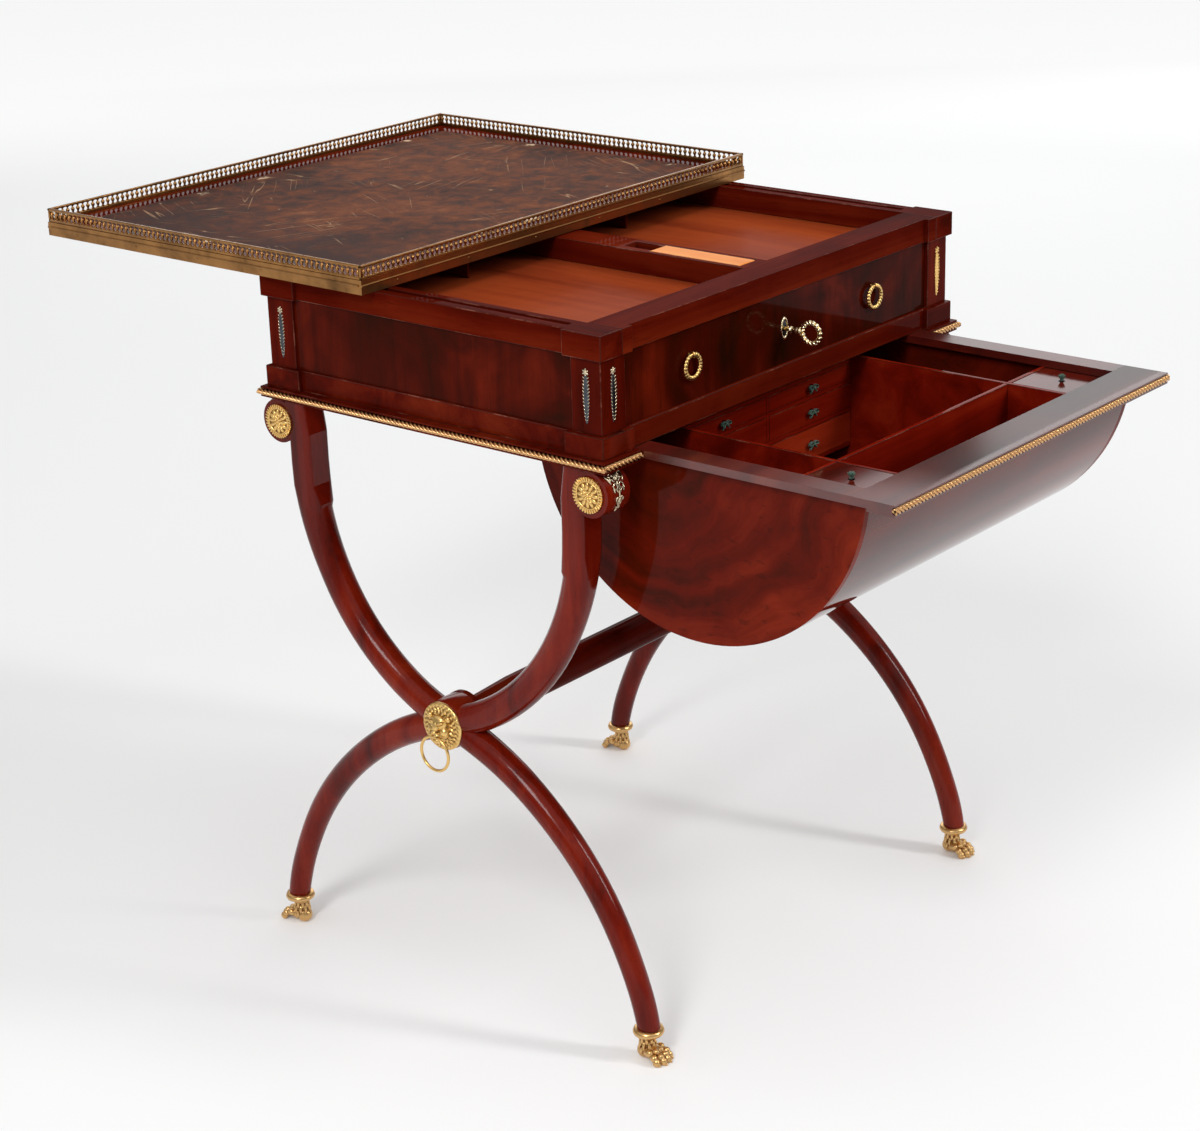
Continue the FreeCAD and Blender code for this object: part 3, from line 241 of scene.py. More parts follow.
def mahogany(
    name, along, dark=DARK_RED, mid=MID_RED, warm=WARM_RED,
    cloud=5.0, figure=0.4, coat=1.0, polish=1.2, blur=0.05,
):
    """Wood with its grain along one axis; figure is the share that clouds take from the bands."""
    material, shader, place = new_finish(name)
    fibres = stretched(place, GRAIN[along])
    bands = noise(fibres, 1.1, 5.0, 0.62, 0.6)
    clouds = noise(place, cloud, 3.0, 0.55, 0.8)
    pores = level(noise(fibres, 32.0, 2.0, 0.5), 0.60, 0.72)
    shade = bands * (1 - figure) + clouds * figure
    colour = ramp(shade, (0.34, dark), (0.5, mid), (0.68, warm))
    colour = mix(pores * 0.45, colour, dark)
    place.fill(shader.inputs["Base Color"], colour)
    place.fill(shader.inputs["Roughness"], 0.36 + clouds * 0.12)
    place.fill(shader.inputs["Normal"], bump(1 - pores, 0.08, PORE_DEPTH))
    polished(shader, coat, polish, blur)
    return material


wood = {along: mahogany(f"mahogany_{along}", along, coat=0.4, polish=1.13) for along in "XYZ"}
rail_wood = {along: mahogany(f"rubbed_{along}", along, coat=0.08, polish=1.13) for along in "XY"}
LEG_REDS = ((0.040, 0.0024, 0.0007), (0.148, 0.0072, 0.0018), (0.255, 0.0220, 0.0055))
legs_wood = mahogany("mahogany_legs", "Z", *LEG_REDS, polish=1.27, blur=0.15)
shell_wood = mahogany("mahogany_shell", "X", polish=1.42)
frame_wood = mahogany("mahogany_frame", "X", polish=1.8, blur=0.32)
lid_wood = mahogany("mahogany_lids", "X", polish=1.26, blur=0.12)
print("plain mahogany with its grain along", ", ".join(wood))

# %% [markdown]
# Some boards were chosen for their figure. The box's round ends are crotch mahogany, whose flame
# swings in wide arcs. A straight grain can't be bent that far by noise, so here a band pattern
# follows the distance from a point above the board, and noise makes it wander.

# %% Figured mahogany
SMOKE, EMBER = (0.015, 0.0038, 0.0010), (0.150, 0.0110, 0.0028)
FLAME_REDS = ((0.036, 0.0046, 0.0010), (0.110, 0.0066, 0.0017), (0.205, 0.0170, 0.0045))
FLAME_RISE = 30 * MM


def flame_mahogany(name, centre):
    """Wood whose bands run in arcs round a centre."""
    material, shader, place = new_finish(name)
    wander = noise(place, 6.0, 3.0, 0.5)
    from_centre = place.node(
        "ShaderNodeVectorMath", {"operation": "DISTANCE"}, {0: place, 1: centre}, output="Value"
    )
    radius = from_centre + wander * 0.07
    ring = place.node("ShaderNodeCombineXYZ", {}, {"X": radius * 34.0, "Y": wander * 1.2})
    bands = noise(ring, 1.0, 5.0, 0.62)
    clouds = noise(place, 8.0, 3.0, 0.6, 1.2)
    fibres = stretched(place, (60, 6, 14), (0.5, 0, 0))
    pores = level(noise(fibres, 11.0, 2.0), 0.60, 0.72)
    shade = bands * 0.72 + clouds * 0.28
    colour = ramp(shade, *zip((0.36, 0.5, 0.63), FLAME_REDS))
    place.fill(shader.inputs["Base Color"], mix(pores * 0.3, colour, SMOKE))
    place.fill(shader.inputs["Roughness"], 0.36 + clouds * 0.12)
    place.fill(shader.inputs["Normal"], bump(1 - pores, 0.06, PORE_DEPTH))
    polished(shader, coat=0.9, polish=1.16, blur=0.06)
    return material


box_low, box_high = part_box("box_shell")
flame_centre = (0, (box_low.y + box_high.y) / 2 + FLAME_RISE, box_high.z + FLAME_RISE)
flame = flame_mahogany("mahogany_flame", flame_centre)
print("flame round", [round(v, 3) for v in flame_centre])

# %% [markdown]
# The other boards use the plain recipe with colours of their own, each from dark to light. The frieze
# is cut so that its grain stands upright, with dark smoky patches. The inside of the box is redder. Its
# lowest drawers get a lighter, redder copy of that wood, which is painted light where they come out of
# the case's shade. The floor of the well and the linings have little or no polish left, and the lid of
# the pen trough is amber.

# %% Coloured boards
INSIDE_REDS = ((0.085, 0.0030, 0.0008), (0.190, 0.0075, 0.0018), (0.300, 0.0210, 0.0050))
# The lowest drawers' colours are the inside reds made lighter: painted light.
LIT_DRAWER_REDS = ((0.160, 0.0085, 0.0022), (0.330, 0.0260, 0.0068), (0.440, 0.0480, 0.0130))
WELL_REDS = ((0.150, 0.019, 0.0055), (0.260, 0.040, 0.0110), (0.350, 0.060, 0.014))
LINING_BROWNS = ((0.17, 0.050, 0.017), (0.30, 0.105, 0.040), (0.40, 0.160, 0.065))
AMBERS = ((0.50, 0.140, 0.030), (0.80, 0.255, 0.055), (0.92, 0.370, 0.100))
FRIEZE_REDS = (SMOKE, (0.052, 0.0040, 0.0010), EMBER)
frieze = mahogany("mahogany_frieze", "Z", *FRIEZE_REDS, cloud=9.0, figure=0.62, coat=0.8, polish=1.11)
inside_red = mahogany("mahogany_inside", "X", *INSIDE_REDS, coat=0.6, polish=1.15)
lit_drawer_red = mahogany("mahogany_lit_drawers", "X", *LIT_DRAWER_REDS, coat=0.6, polish=1.15)
well_red = mahogany("mahogany_well", "Y", *WELL_REDS, coat=0.2, blur=0.3)
lining = mahogany("lining_wood", "Y", *LINING_BROWNS, coat=0.0)
amber = mahogany("amber_wood", "Y", *AMBERS, coat=0.3, polish=1.15)
print("six coloured woods made")

# %% [markdown]
# The mounts are cast bronze, gilded and chased, and the gilding has gone brown in the hollows. The
# band and gallery are plain brass that was never gilded. Both are metals, so their colour is the
# colour of their reflections. Pointiness tells hollows from ridges on a dense mesh, and noise breaks
# up the line between clean and dull metal.

# %% Metals
def metal(name, bright, dull, sleek, rough, patches, wear):
    """Bright, sleek metal on the ridges and dull, rough metal in the hollows.

    Noise breaks up the line between them: patches is how fine it is, and wear is its share.
    """
    material, shader, place = new_finish(name)
    hollow = place.node("ShaderNodeNewGeometry", output="Pointiness")
    ridge = level(hollow, 0.44, 0.53)
    spots = noise(place, patches, 4.0, 0.6)
    clean = level(ridge * (1 - wear) + spots * wear, 0.30, 0.78)
    place.fill(shader.inputs["Base Color"], mix(clean, dull, bright))
    place.fill(shader.inputs["Roughness"], rough - clean * (rough - sleek))
    place.fill(shader.inputs["Normal"], bump(noise(place, 900.0, 2.0), 0.10, 0.2 * MM))
    shader.inputs["Metallic"].default_value = 1.0
    return material


gilt = metal("gilt_bronze", (0.82, 0.535, 0.190), (0.26, 0.135, 0.042), 0.28, 0.48, 90.0, 0.35)
paw_gilt = metal("paw_gilt", (0.70, 0.43, 0.175), (0.20, 0.095, 0.034), 0.28, 0.48, 90.0, 0.40)
rope_gilt = metal("rope_gilt", (0.60, 0.335, 0.145), (0.11, 0.050, 0.018), 0.28, 0.50, 120.0, 0.30)
pale_gilt = metal("pale_gilt", (0.95, 0.79, 0.500), (0.36, 0.250, 0.120), 0.22, 0.40, 120.0, 0.30)
brass = metal("aged_brass", (0.37, 0.180, 0.060), (0.080, 0.037, 0.014), 0.30, 0.50, 38.0, 0.7)
dark_gilt = metal("dark_gilt", (0.085, 0.095, 0.105), (0.022, 0.027, 0.032), 0.24, 0.38, 160.0, 0.6)
silver_gilt = metal("silver_gilt", (0.74, 0.62, 0.43), (0.030, 0.024, 0.018), 0.20, 0.40, 220.0, 0.70)
iron = metal("filed_iron", (0.42, 0.41, 0.39), (0.12, 0.10, 0.085), 0.32, 0.55, 70.0, 0.6)
print("five kinds of gilding, a darkened one, brass and iron made")

# %% [markdown]
# The writing leather is old: dark brown with reddish and nearly black mottling, dry grain, fine
# scratches that cross in all directions, and cream patches where the surface has worn away near the
# edges. Each of these is a mask, and each mask mixes one more colour over the ones below.

# %% Scratches
def scratches(place, turn, scale, width):
    """Long thin lines: the places where a noise, turned and then drawn out, crosses its middle value."""
    turned = stretched(place, (1, 1, 1), (0, 0, turn), (turn, 0, 0))
    lines = noise(stretched(turned, (0.9, 14.0, 1.0)), scale, 1.0, 0.3)
    near = lines.node("ShaderNodeMath", {"operation": "ABSOLUTE"}, {0: lines - 0.5})
    broken = level(noise(turned, 9.0, 3.0, 0.6), 0.565, 0.66)
    return (1 - level(near, width * 0.3, width)) * broken


def many_scratches(place):
    """Scratches in five directions, laid over one another."""
    lines = scratches(place, 0.45, 5.0, 0.0100)
    for turn, scale in ((-0.75, 4.4), (1.25, 5.6), (2.0, 4.0), (-0.2, 3.4)):
        lines = place.maths("MAXIMUM", lines, scratches(place, turn, scale, 0.0085))
    return lines


print("scratches run in five directions")

# %% [markdown]
# The leather changes with its place. The left end is darker and greyer, and the cream chips of wear
# keep to a narrow border, so the shader needs the distance to the nearest edge: the smaller of the
# distances to both ends, along each of the two axes.

# %% Leather
leather_low, leather_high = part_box("writing_leather")


def distance_to_edge(place, across, along):
    """How far a point of the leather lies from its nearest edge."""
    from_side = place.maths("MINIMUM", across - leather_low.x, leather_high.x - across)
    from_end = place.maths("MINIMUM", along - leather_low.y, leather_high.y - along)
    return place.maths("MINIMUM", from_side, from_end)


def old_leather(name):
    """Mottled brown leather, then its scratches, scuffs and chips, each mixed over the last."""
    material, shader, place = new_finish(name)
    across, along = (
        place.node("ShaderNodeSeparateXYZ", {}, {"Vector": place}, output=axis) for axis in "XY"
    )
    to_edge = distance_to_edge(place, across, along)
    broad = noise(place, 5.0, 5.0, 0.62, 0.9)
    fine = noise(place, 42.0, 6.0, 0.70, 0.5)
    grain = noise(place, 420.0, 3.0, 0.6)
    colour = ramp(
        broad * 0.38 + fine * 0.62,
        (0.36, (0.026, 0.0105, 0.0080)),
        (0.47, (0.080, 0.0270, 0.0150)),
        (0.56, (0.150, 0.0450, 0.0190)),
        (0.68, (0.240, 0.0850, 0.0350)),
    )
    blots = level(noise(place, 30.0, 5.0, 0.75, 1.2), 0.60, 0.72)
    left = 1 - level(across + broad * 0.2, leather_low.x + 100 * MM, leather_low.x + 280 * MM)
    colour = mix(blots * 0.55, colour, (0.018, 0.0090, 0.0080))
    colour = mix(left * 0.65, colour, (0.040, 0.0210, 0.0200))
    lines = many_scratches(place)
    colour = mix(lines * 0.62, colour, (0.46, 0.275, 0.15))
    scuffs = level(noise(place, 13.0, 8.0, 0.80, 0.6), 0.640, 0.685) * level(fine, 0.46, 0.56)
    colour = mix(scuffs * 0.85, colour, (0.60, 0.42, 0.27))
    near_edge = 1 - level(to_edge, 3 * MM, 20 * MM)
    chips = level(noise(place, 24.0, 4.0, 0.7), 0.622, 0.652) * near_edge
    colour = mix(chips * 0.9, colour, (0.74, 0.55, 0.36))
    place.fill(shader.inputs["Base Color"], colour)
    place.fill(shader.inputs["Roughness"], 0.50 + fine * 0.25)
    height = grain * 0.5 + fine - lines * 0.8 - chips
    place.fill(shader.inputs["Normal"], bump(height, 0.35, 0.6 * MM))
    shader.inputs["Specular IOR Level"].default_value = 0.04
    return material


leather = old_leather("old_leather")
print("leather", [round(v, 3) for v in (leather_high - leather_low)])

# %% [markdown]
# Every node of the construction model gets a finish, chosen by what the board is and which way its
# grain runs. Nodes that aren't listed are castings, and they are gilt. Pieces made later replace some
# of these nodes.

# %% Finishes on the frame
FINISHES = {
    "side_top_rails": rail_wood["Y"], "front_top_rail": rail_wood["X"], "back_top_rail": rail_wood["X"],
    "corner_posts": wood["Z"], "plinth": wood["X"], "base_moulding": wood["X"],
    "left_panel": frieze, "right_panel": frieze, "back_panel": frieze, "drawer_front": frieze,
    "well_floor": well_red, "well_divider": rail_wood["Y"], "well_partitions": rail_wood["Y"],
    "pen_lid": amber,
    "dust_board": lining, "drawer_runners": lining, "drawer_sides": lining, "drawer_back": lining,
    "drawer_bottom": lining, "box_runners": lining, "top_runners": lining, "lid_ledges": inside_red,
    "top_board": wood["X"], "writing_leather": leather, "edge_band": brass, "gallery": brass,
    "drawer_lock": iron, "lock_bolt": iron, "left_lion_ring": gilt, "right_lion_ring": gilt,
    "box_shell": shell_wood, "box_ends": flame, "box_frame": frame_wood, "box_dividers": inside_red,
    "drawer_nest": inside_red, "left_lid": lid_wood, "right_lid": lid_wood, "stretcher": wood["X"],
}
# The lowest drawers get the lighter copy of the inside wood, as painted light where they come out of the
# case's shade.
for row in ("upper", "middle", "lower"):
    for side in ("left", "right"):
        FINISHES[f"{row}_{side}_drawer"] = lit_drawer_red if row == "lower" else inside_red
for end in ("left_front", "right_front", "left_back", "right_back"):
    FINISHES[f"{end}_leg"] = legs_wood
for name, node in nodes.items():
    node.data.materials.clear()
    node.data.materials.append(FINISHES.get(name, gilt))
print("finishes on", len(nodes), "nodes")

# %% [markdown]
# From here on pieces are modelled. Blender's operators act on whatever is selected, and the frame
# comes in selected, so each helper first clears the selection.

# %% Selecting
def clear():
    """Leaves edit mode and deselects everything."""
    if bpy.context.object and bpy.context.object.mode == "EDIT":
        bpy.ops.object.mode_set(mode="OBJECT")
    bpy.ops.object.select_all(action="DESELECT")


def pick(*pieces):
    """Selects pieces; the first is the active one."""
    clear()
    for piece in pieces:
        piece.select_set(True)
    bpy.context.view_layer.objects.active = pieces[0]


def edit(piece):
    """Opens a piece in edit mode with all of it selected."""
    pick(piece)
    bpy.ops.object.mode_set(mode="EDIT")
    bpy.ops.mesh.select_mode(type="VERT")
    bpy.ops.mesh.select_all(action="SELECT")


print("selection helpers ready")

# %% [markdown]
# A finished piece sits at the origin, unturned and unscaled, so that patterns on its own coordinates
# keep their place. Whatever was moved or scaled is therefore settled into its mesh. Small parts are
# joined into one piece under one name, and models that were only copied are thrown away.

# %% Settling and joining
def settled(piece):
    """Moves a piece's place, turn and scale into its mesh."""
    pick(piece)
    bpy.ops.object.transform_apply(location=True, rotation=True, scale=True)
    return piece


def joined(name, *pieces):
    """Joins pieces into the first one and names it."""
    pick(*pieces)
    if len(pieces) > 1:
        bpy.ops.object.join()
    pieces[0].name = name
    pieces[0].data.name = name
    return pieces[0]


def discard(piece):
    """Deletes a model that has served its turn."""
    pick(piece)
    bpy.ops.object.delete()


print("joining helpers ready")

# %% [markdown]
# What repeats is modelled once and copied. A copy has a mesh of its own, and its place, turn and
# scale go into that mesh at once. A mirrored copy is inside out, so its normals are recalculated,
# after vertices that touch are merged.

# %% Copying
TOUCHING = 0.001 * MM


def outward(piece):
    """Merges doubles and turns all faces outwards."""
    edit(piece)
    bpy.ops.mesh.remove_doubles(threshold=TOUCHING)
    bpy.ops.mesh.normals_make_consistent(inside=False)
    clear()
    return piece


def copied(piece, move=(0, 0, 0), turn=None, about=(0, 0, 0), scale=(1, 1, 1)):
    """A copy with its own mesh, scaled and turned about a point, then moved."""
    pick(piece)
    bpy.ops.object.duplicate(linked=False)
    copy = bpy.context.object
    centre = Matrix.Translation(Vector(about))
    spin = turn if turn is not None else Matrix.Identity(4)
    size = Matrix.Diagonal((*scale, 1))
    copy.matrix_world = Matrix.Translation(Vector(move)) @ centre @ spin @ size @ centre.inverted()
    settled(copy)
    if scale[0] * scale[1] * scale[2] < 0:
        outward(copy)
    return copy


print("copying helpers ready")

# %% [markdown]
# Modifiers do the work that would be slow by hand: rows of copies, screw lines, bevels, remeshing.
# Each is applied at once, so that the next step sees the finished mesh. Shading comes last: faces
# that meet at a shallow angle are shaded as one round surface, and sharper edges stay crisp.

# %% Modifiers and shading
def modified(piece, kind, **settings):
    """Adds a modifier, sets it and applies it."""
    pick(piece)
    bpy.ops.object.modifier_add(type=kind)
    modifier = piece.modifiers[-1]
    for name, value in settings.items():
        setattr(modifier, name, value)
    bpy.ops.object.modifier_apply(modifier=modifier.name)
    return piece


def smooth(piece, degrees=35):
    """Shades a piece smooth and keeps the edges that are sharper than an angle."""
    pick(piece)
    bpy.ops.object.shade_smooth_by_angle(angle=math.radians(degrees))
    return piece


print("modifier helpers ready")

# %% [markdown]
# A finished piece rides on one body of the frame, so that it moves with its joint, and stands in for
# the plain node that it replaces.

# %% Finishing
def finished(piece, material, body, slot, *stands_for):
    """Gives a piece its finish, its carrier and the nodes that it replaces. Its slot is not used."""
    piece.data.materials.clear()
    piece.data.materials.append(material)
    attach(piece, body)
    if stands_for:
        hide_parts(*stands_for)
    print(piece.name, len(piece.data.polygons), "faces on", body)


print("finishing helper ready")

# %% [markdown]
# Nearly all ornament starts from one of four shapes. The first two are a block, which is a box with
# softened edges, and a pebble, which is a drawn-out ball. They are starts only: they are joined, swung
# round a scroll, remeshed or cut before they are done.

# %% Blocks and pebbles
def block(low, high, soft):
    """A box between two corners, with its edges softened."""
    clear()
    low, high = Vector(low), Vector(high)
    bpy.ops.mesh.primitive_cube_add(size=1, location=(low + high) / 2)
    piece = bpy.context.object
    piece.scale = high - low
    edit(settled(piece))
    bpy.ops.mesh.bevel(offset=soft, segments=2, affect="EDGES")
    clear()
    return piece


def pebble(centre, radii, turn=None, fine=12):
    """A ball drawn out to three radii: the lump of wax that cast ornament starts from."""
    clear()
    bpy.ops.mesh.primitive_uv_sphere_add(segments=fine, ring_count=fine // 2, radius=1, location=(0, 0, 0))
    piece = bpy.context.object
    spin = turn if turn is not None else Matrix.Identity(4)
    piece.matrix_world = Matrix.Translation(Vector(centre)) @ spin @ Matrix.Diagonal((*radii, 1))
    return settled(piece)


print("blocks and pebbles ready")

# %% [markdown]
# The other two are round. A turned piece is what a lathe would give: a profile is drawn point by point
# beside an axis and spun round it. A hoop is a ring of wire.

# %% Turned pieces and hoops
AXES = {"X": Vector((1, 0, 0)), "Y": Vector((0, 1, 0)), "Z": Vector((0, 0, 1))}


def in_mm(profile):
    """A profile of (place on the axis, radius), given in millimetres."""
    return [(place * MM, radius * MM) for place, radius in profile]


def spun(profile, axis, centre, steps):
    """A turned piece: one vertex is extruded along a profile of (place on the axis, radius), then spun."""
    along = AXES[axis]
    out = AXES["X"] if axis == "Z" else AXES["Z"]
    points = [Vector(centre) + along * place + out * radius for place, radius in profile]
    clear()
    bpy.ops.mesh.primitive_plane_add(size=MM, location=points[0])
    piece = settled(bpy.context.object)
    edit(piece)
    bpy.ops.mesh.merge(type="CENTER")
    for last, point in zip(points, points[1:]):
        bpy.ops.mesh.extrude_vertices_move(TRANSFORM_OT_translate={"value": point - last})
    bpy.ops.mesh.select_all(action="SELECT")
    bpy.ops.mesh.spin(steps=steps, angle=math.tau, center=centre, axis=along)
    clear()
    return outward(piece)


def hoop(centre, axis, radius, wire, around, across):
    """A ring of round wire about the X or the Y axis."""
    clear()
    turn = {"X": (0, math.pi / 2, 0), "Y": (math.pi / 2, 0, 0)}[axis]
    bpy.ops.mesh.primitive_torus_add(
        location=centre, rotation=turn, major_segments=around, minor_segments=across,
        major_radius=radius, minor_radius=wire,
    )
    return settled(bpy.context.object)


print("turned pieces and hoops ready")

# %% [markdown]
# The gallery is the finest work on the table: a low brass fence of little vase-shaped balusters
# between a foot rail and a cap rail. One baluster is turned with eight sides, because several
# hundred copies of it have to stay light, and an array sets out each side of the fence.

# %% Gallery
gallery_low, gallery_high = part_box("gallery")
GALLERY_PITCH, GALLERY_THICK = 7.0 * MM, 2.6 * MM
FOOT_RAIL, CAP_RAIL = 3.2 * MM, 2.4 * MM
fence_low = gallery_low.z + FOOT_RAIL
fence_high = gallery_high.z - CAP_RAIL
fence_rise = fence_high - fence_low
# The baluster's outline: heights as shares of the fence's rise, radii as shares of its reach
VASE = (
    (-0.02, 0.80), (0.07, 0.80), (0.13, 0.42), (0.30, 0.60), (0.50, 1.0),
    (0.62, 0.82), (0.76, 0.40), (0.87, 0.36), (0.92, 0.70), (1.02, 0.75),
)
BALUSTER_REACH = 2.3 * MM


def baluster_row(start, step, count):
    """A row of balusters from start; each further one lies a step away."""
    profile = [(place * fence_rise, radius * BALUSTER_REACH) for place, radius in VASE]
    row = spun(profile, "Z", start, steps=8)
    return modified(
        row, "ARRAY", count=count, use_relative_offset=False,
        use_constant_offset=True, constant_offset_displace=step,
    )


half = GALLERY_THICK / 2
fence_x = (gallery_low.x + half, gallery_high.x - half)
fence_y = (gallery_low.y + half, gallery_high.y - half)
rows = []
for x_row in (True, False):
    low, high = fence_x if x_row else fence_y
    count = round((high - low) / GALLERY_PITCH)
    pitch = (high - low) / count
    for side in fence_y if x_row else fence_x:
        start = (low + pitch / 2, side, fence_low) if x_row else (side, low + pitch / 2, fence_low)
        step = (pitch, 0, 0) if x_row else (0, pitch, 0)
        rows.append(baluster_row(start, step, count))
balusters = joined("gallery_balusters", *rows)
smooth(balusters, 50)
finished(balusters, brass, "top", "aged_brass")

# %% [markdown]
# The rails of the fence are square brass bars with rounded edges. The cap is a touch wider than the
# foot, and a small square post closes each corner. All of it is blocks, joined into one piece.

# %% Gallery rails
CAP_OVERHANG, BAR_EDGE, POST_EDGE = 0.35 * MM, 0.5 * MM, 0.4 * MM


def bar_span(low, high, side, wide):
    """Where a bar begins and ends across the fence, at its low or its high side."""
    inner = GALLERY_THICK + wide
    return (low - wide, low + inner) if side == 0 else (high - inner, high + wide)


bars = []
for low_z, high_z, wide in ((gallery_low.z, fence_low, 0.0), (fence_high, gallery_high.z, CAP_OVERHANG)):
    left_end, right_end = gallery_low.x - wide, gallery_high.x + wide
    front_end, back_end = gallery_low.y - wide, gallery_high.y + wide
    for side in (0, 1):
        y = bar_span(gallery_low.y, gallery_high.y, side, wide)
        x = bar_span(gallery_low.x, gallery_high.x, side, wide)
        bars.append(block((left_end, y[0], low_z), (right_end, y[1], high_z), BAR_EDGE))
        bars.append(block((x[0], front_end, low_z), (x[1], back_end, high_z), BAR_EDGE))
for x in fence_x:
    for y in fence_y:
        post_low, post_high = (x - half, y - half, fence_low - MM), (x + half, y + half, fence_high + MM)
        bars.append(block(post_low, post_high, POST_EDGE))
gallery_rails = smooth(joined("gallery_rails", *bars))
finished(gallery_rails, brass, "top", "aged_brass", "gallery")

# %% [markdown]
# Small brass pins hold the band to the edge of the top. Only their domed heads show. They stand along
# the band at an even step, a little below the middle of its height, and each is a pebble that is sunk
# in the band to half its depth.

# %% Band pins
band_low, band_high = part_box("edge_band")
PIN_RADIUS, PIN_RISE, PIN_STEP, PIN_HEIGHT = 1.3 * MM, 0.7 * MM, 104 * MM, 0.36
# The band's bead stands out this far from the face that the pins sit in
BEAD = 1.2 * MM
pin_z = band_low.z + PIN_HEIGHT * (band_high.z - band_low.z)
pins = []
for axis, low, high in ((0, band_low.x, band_high.x), (1, band_low.y, band_high.y)):
    count = round((high - low) / PIN_STEP)
    for number in range(count):
        place = low + (number + 0.5) * (high - low) / count
        for side in (band_low, band_high):
            face = side[1 - axis] + (BEAD if side is band_low else -BEAD)
            centre = (place, face, pin_z) if axis == 0 else (face, place, pin_z)
            head = (PIN_RADIUS, PIN_RISE, PIN_RADIUS) if axis == 0 else (PIN_RISE, PIN_RADIUS, PIN_RADIUS)
            pins.append(pebble(centre, head, fine=10))
band_pins = smooth(joined("band_pins", *pins), 60)
finished(band_pins, brass, "top", "aged_brass")

# %% [markdown]
# A gilt rope runs round three sides of the case, turns a short way along the front, and goes on along
# the front of the box. A rope is strands laid round one another: a Screw modifier carries circles
# up a line while it turns them. Runs meet at the corners in a mitre, which the bisect tool cuts.

# %% Rope strands
ROPE_PITCH, STRANDS, STEPS_A_TURN = 16.5 * MM, 3, 12
# Where the strands run, and how thick they and the core are, as shares of the rope's radius
STRAND_PLACE, STRAND_SIZE, CORE_SIZE = 0.51, 0.49, 0.4


def rope_strand(length, radius, angle):
    """A circle at the strand's place, carried up a screw line to the rope's length."""
    place = Vector((math.cos(angle), math.sin(angle), 0)) * radius * STRAND_PLACE
    size = radius * STRAND_SIZE
    clear()
    bpy.ops.mesh.primitive_circle_add(vertices=8, radius=size, fill_type="NOTHING", location=place)
    strand = settled(bpy.context.object)
    steps = max(round(length / ROPE_PITCH), 1) * STEPS_A_TURN
    twist = length / ROPE_PITCH * math.tau
    modified(strand, "SCREW", angle=twist, screw_offset=length, steps=steps, render_steps=steps)
    edit(strand)
    bpy.ops.mesh.fill_holes(sides=8)
    return outward(strand)


def rope_run(start, end, radius, mitres=()):
    """Twisted strands round a core from start to end, cut by planes given as (point, outward normal)."""
    start, end = Vector(start), Vector(end)
    length = (end - start).length
    core = radius * CORE_SIZE
    strands = [spun([(0, 0), (0, core), (length, core), (length, 0)], "Z", (0, 0, 0), steps=8)]
    for number in range(STRANDS):
        strands.append(rope_strand(length, radius, number * math.tau / STRANDS))
    run = joined("rope_run", *strands)
    turn = (end - start).to_track_quat("Z", "Y").to_matrix().to_4x4()
    run.matrix_world = Matrix.Translation(start) @ turn
    settled(run)
    for point, normal in mitres:
        edit(run)
        bpy.ops.mesh.bisect(plane_co=point, plane_no=normal, use_fill=True, clear_outer=True)
        clear()
    return run


print("a rope of", STRANDS, "strands")

# %% [markdown]
# The case's rope is five runs: one along each side, one along the back, and a short one on either
# side of the box. Every run overshoots its corners a little, and its mitre cuts it to length. The
# box carries a run of its own, so that it moves away with the box.

# %% Rope round the case and on the box
rope_low, rope_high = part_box("case_rope")
box_rope_low, box_rope_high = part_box("box_rope")
ROPE_RADIUS = (rope_high.z - rope_low.z) / 2
rope_z = (rope_low.z + rope_high.z) / 2
rope_x = rope_high.x - ROPE_RADIUS
rope_front, rope_back = rope_low.y + ROPE_RADIUS, rope_high.y - ROPE_RADIUS
overrun = 2 * ROPE_RADIUS
front_left, front_right = Vector((-rope_x, rope_front, rope_z)), Vector((rope_x, rope_front, rope_z))
back_left, back_right = Vector((-rope_x, rope_back, rope_z)), Vector((rope_x, rope_back, rope_z))
SLIDE_ROOM = 0.6 * MM
box_edge = box_rope_high.x + SLIDE_ROOM
runs = []
for side, front, back in ((-1, front_left, back_left), (1, front_right, back_right)):
    ahead, aside = Vector((0, overrun, 0)), Vector((side * overrun, 0, 0))
    front_mitre, back_mitre = Vector((-side, -1, 0)), Vector((-side, 1, 0))
    mitres = ((front, front_mitre), (back, back_mitre))
    runs.append(rope_run(front - ahead, back + ahead, ROPE_RADIUS, mitres))
    corner_end = Vector((side * box_edge, rope_front, rope_z))
    runs.append(rope_run(corner_end, front + aside, ROPE_RADIUS, ((front, -front_mitre),)))
cuts = ((back_left, Vector((-1, -1, 0))), (back_right, Vector((1, -1, 0))))
past = Vector((overrun, 0, 0))
runs.append(rope_run(back_left - past, back_right + past, ROPE_RADIUS, cuts))
base_rope = smooth(joined("base_rope", *runs), 60)
finished(base_rope, rope_gilt, "case", "gilt", "case_rope")

rope_y = (box_rope_low.y + box_rope_high.y) / 2
rope_z = (box_rope_low.z + box_rope_high.z) / 2
front_rope = rope_run((box_rope_low.x, rope_y, rope_z), (box_rope_high.x, rope_y, rope_z), ROPE_RADIUS)
front_rope = smooth(joined("box_front_rope", front_rope), 60)
finished(front_rope, rope_gilt, "box", "gilt", "box_rope")

# %% [markdown]
# Ornament repeats in two ways. Petals and locks stand round a middle in even steps, and what one leg
# carries, the other three carry as well. For the first, copies are turned round an axis. For the
# second, they are mirrored in the two middle planes of the case.

# %% Copies in a ring and at four corners
round_low, round_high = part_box("scroll_roundels")
case_mid_y = (round_low.y + round_high.y) / 2


def turn_about(axis, angle):
    """A turn about X, Y or Z, in radians."""
    return Matrix.Rotation(angle, 4, axis)


def ring_of(piece, count, about, axis="X", start=0.0):
    """A piece and its copies, turned round an axis in even steps."""
    turns = [turn_about(axis, start + number * math.tau / count) for number in range(count)]
    return [copied(piece, turn=turn, about=about) for turn in turns]


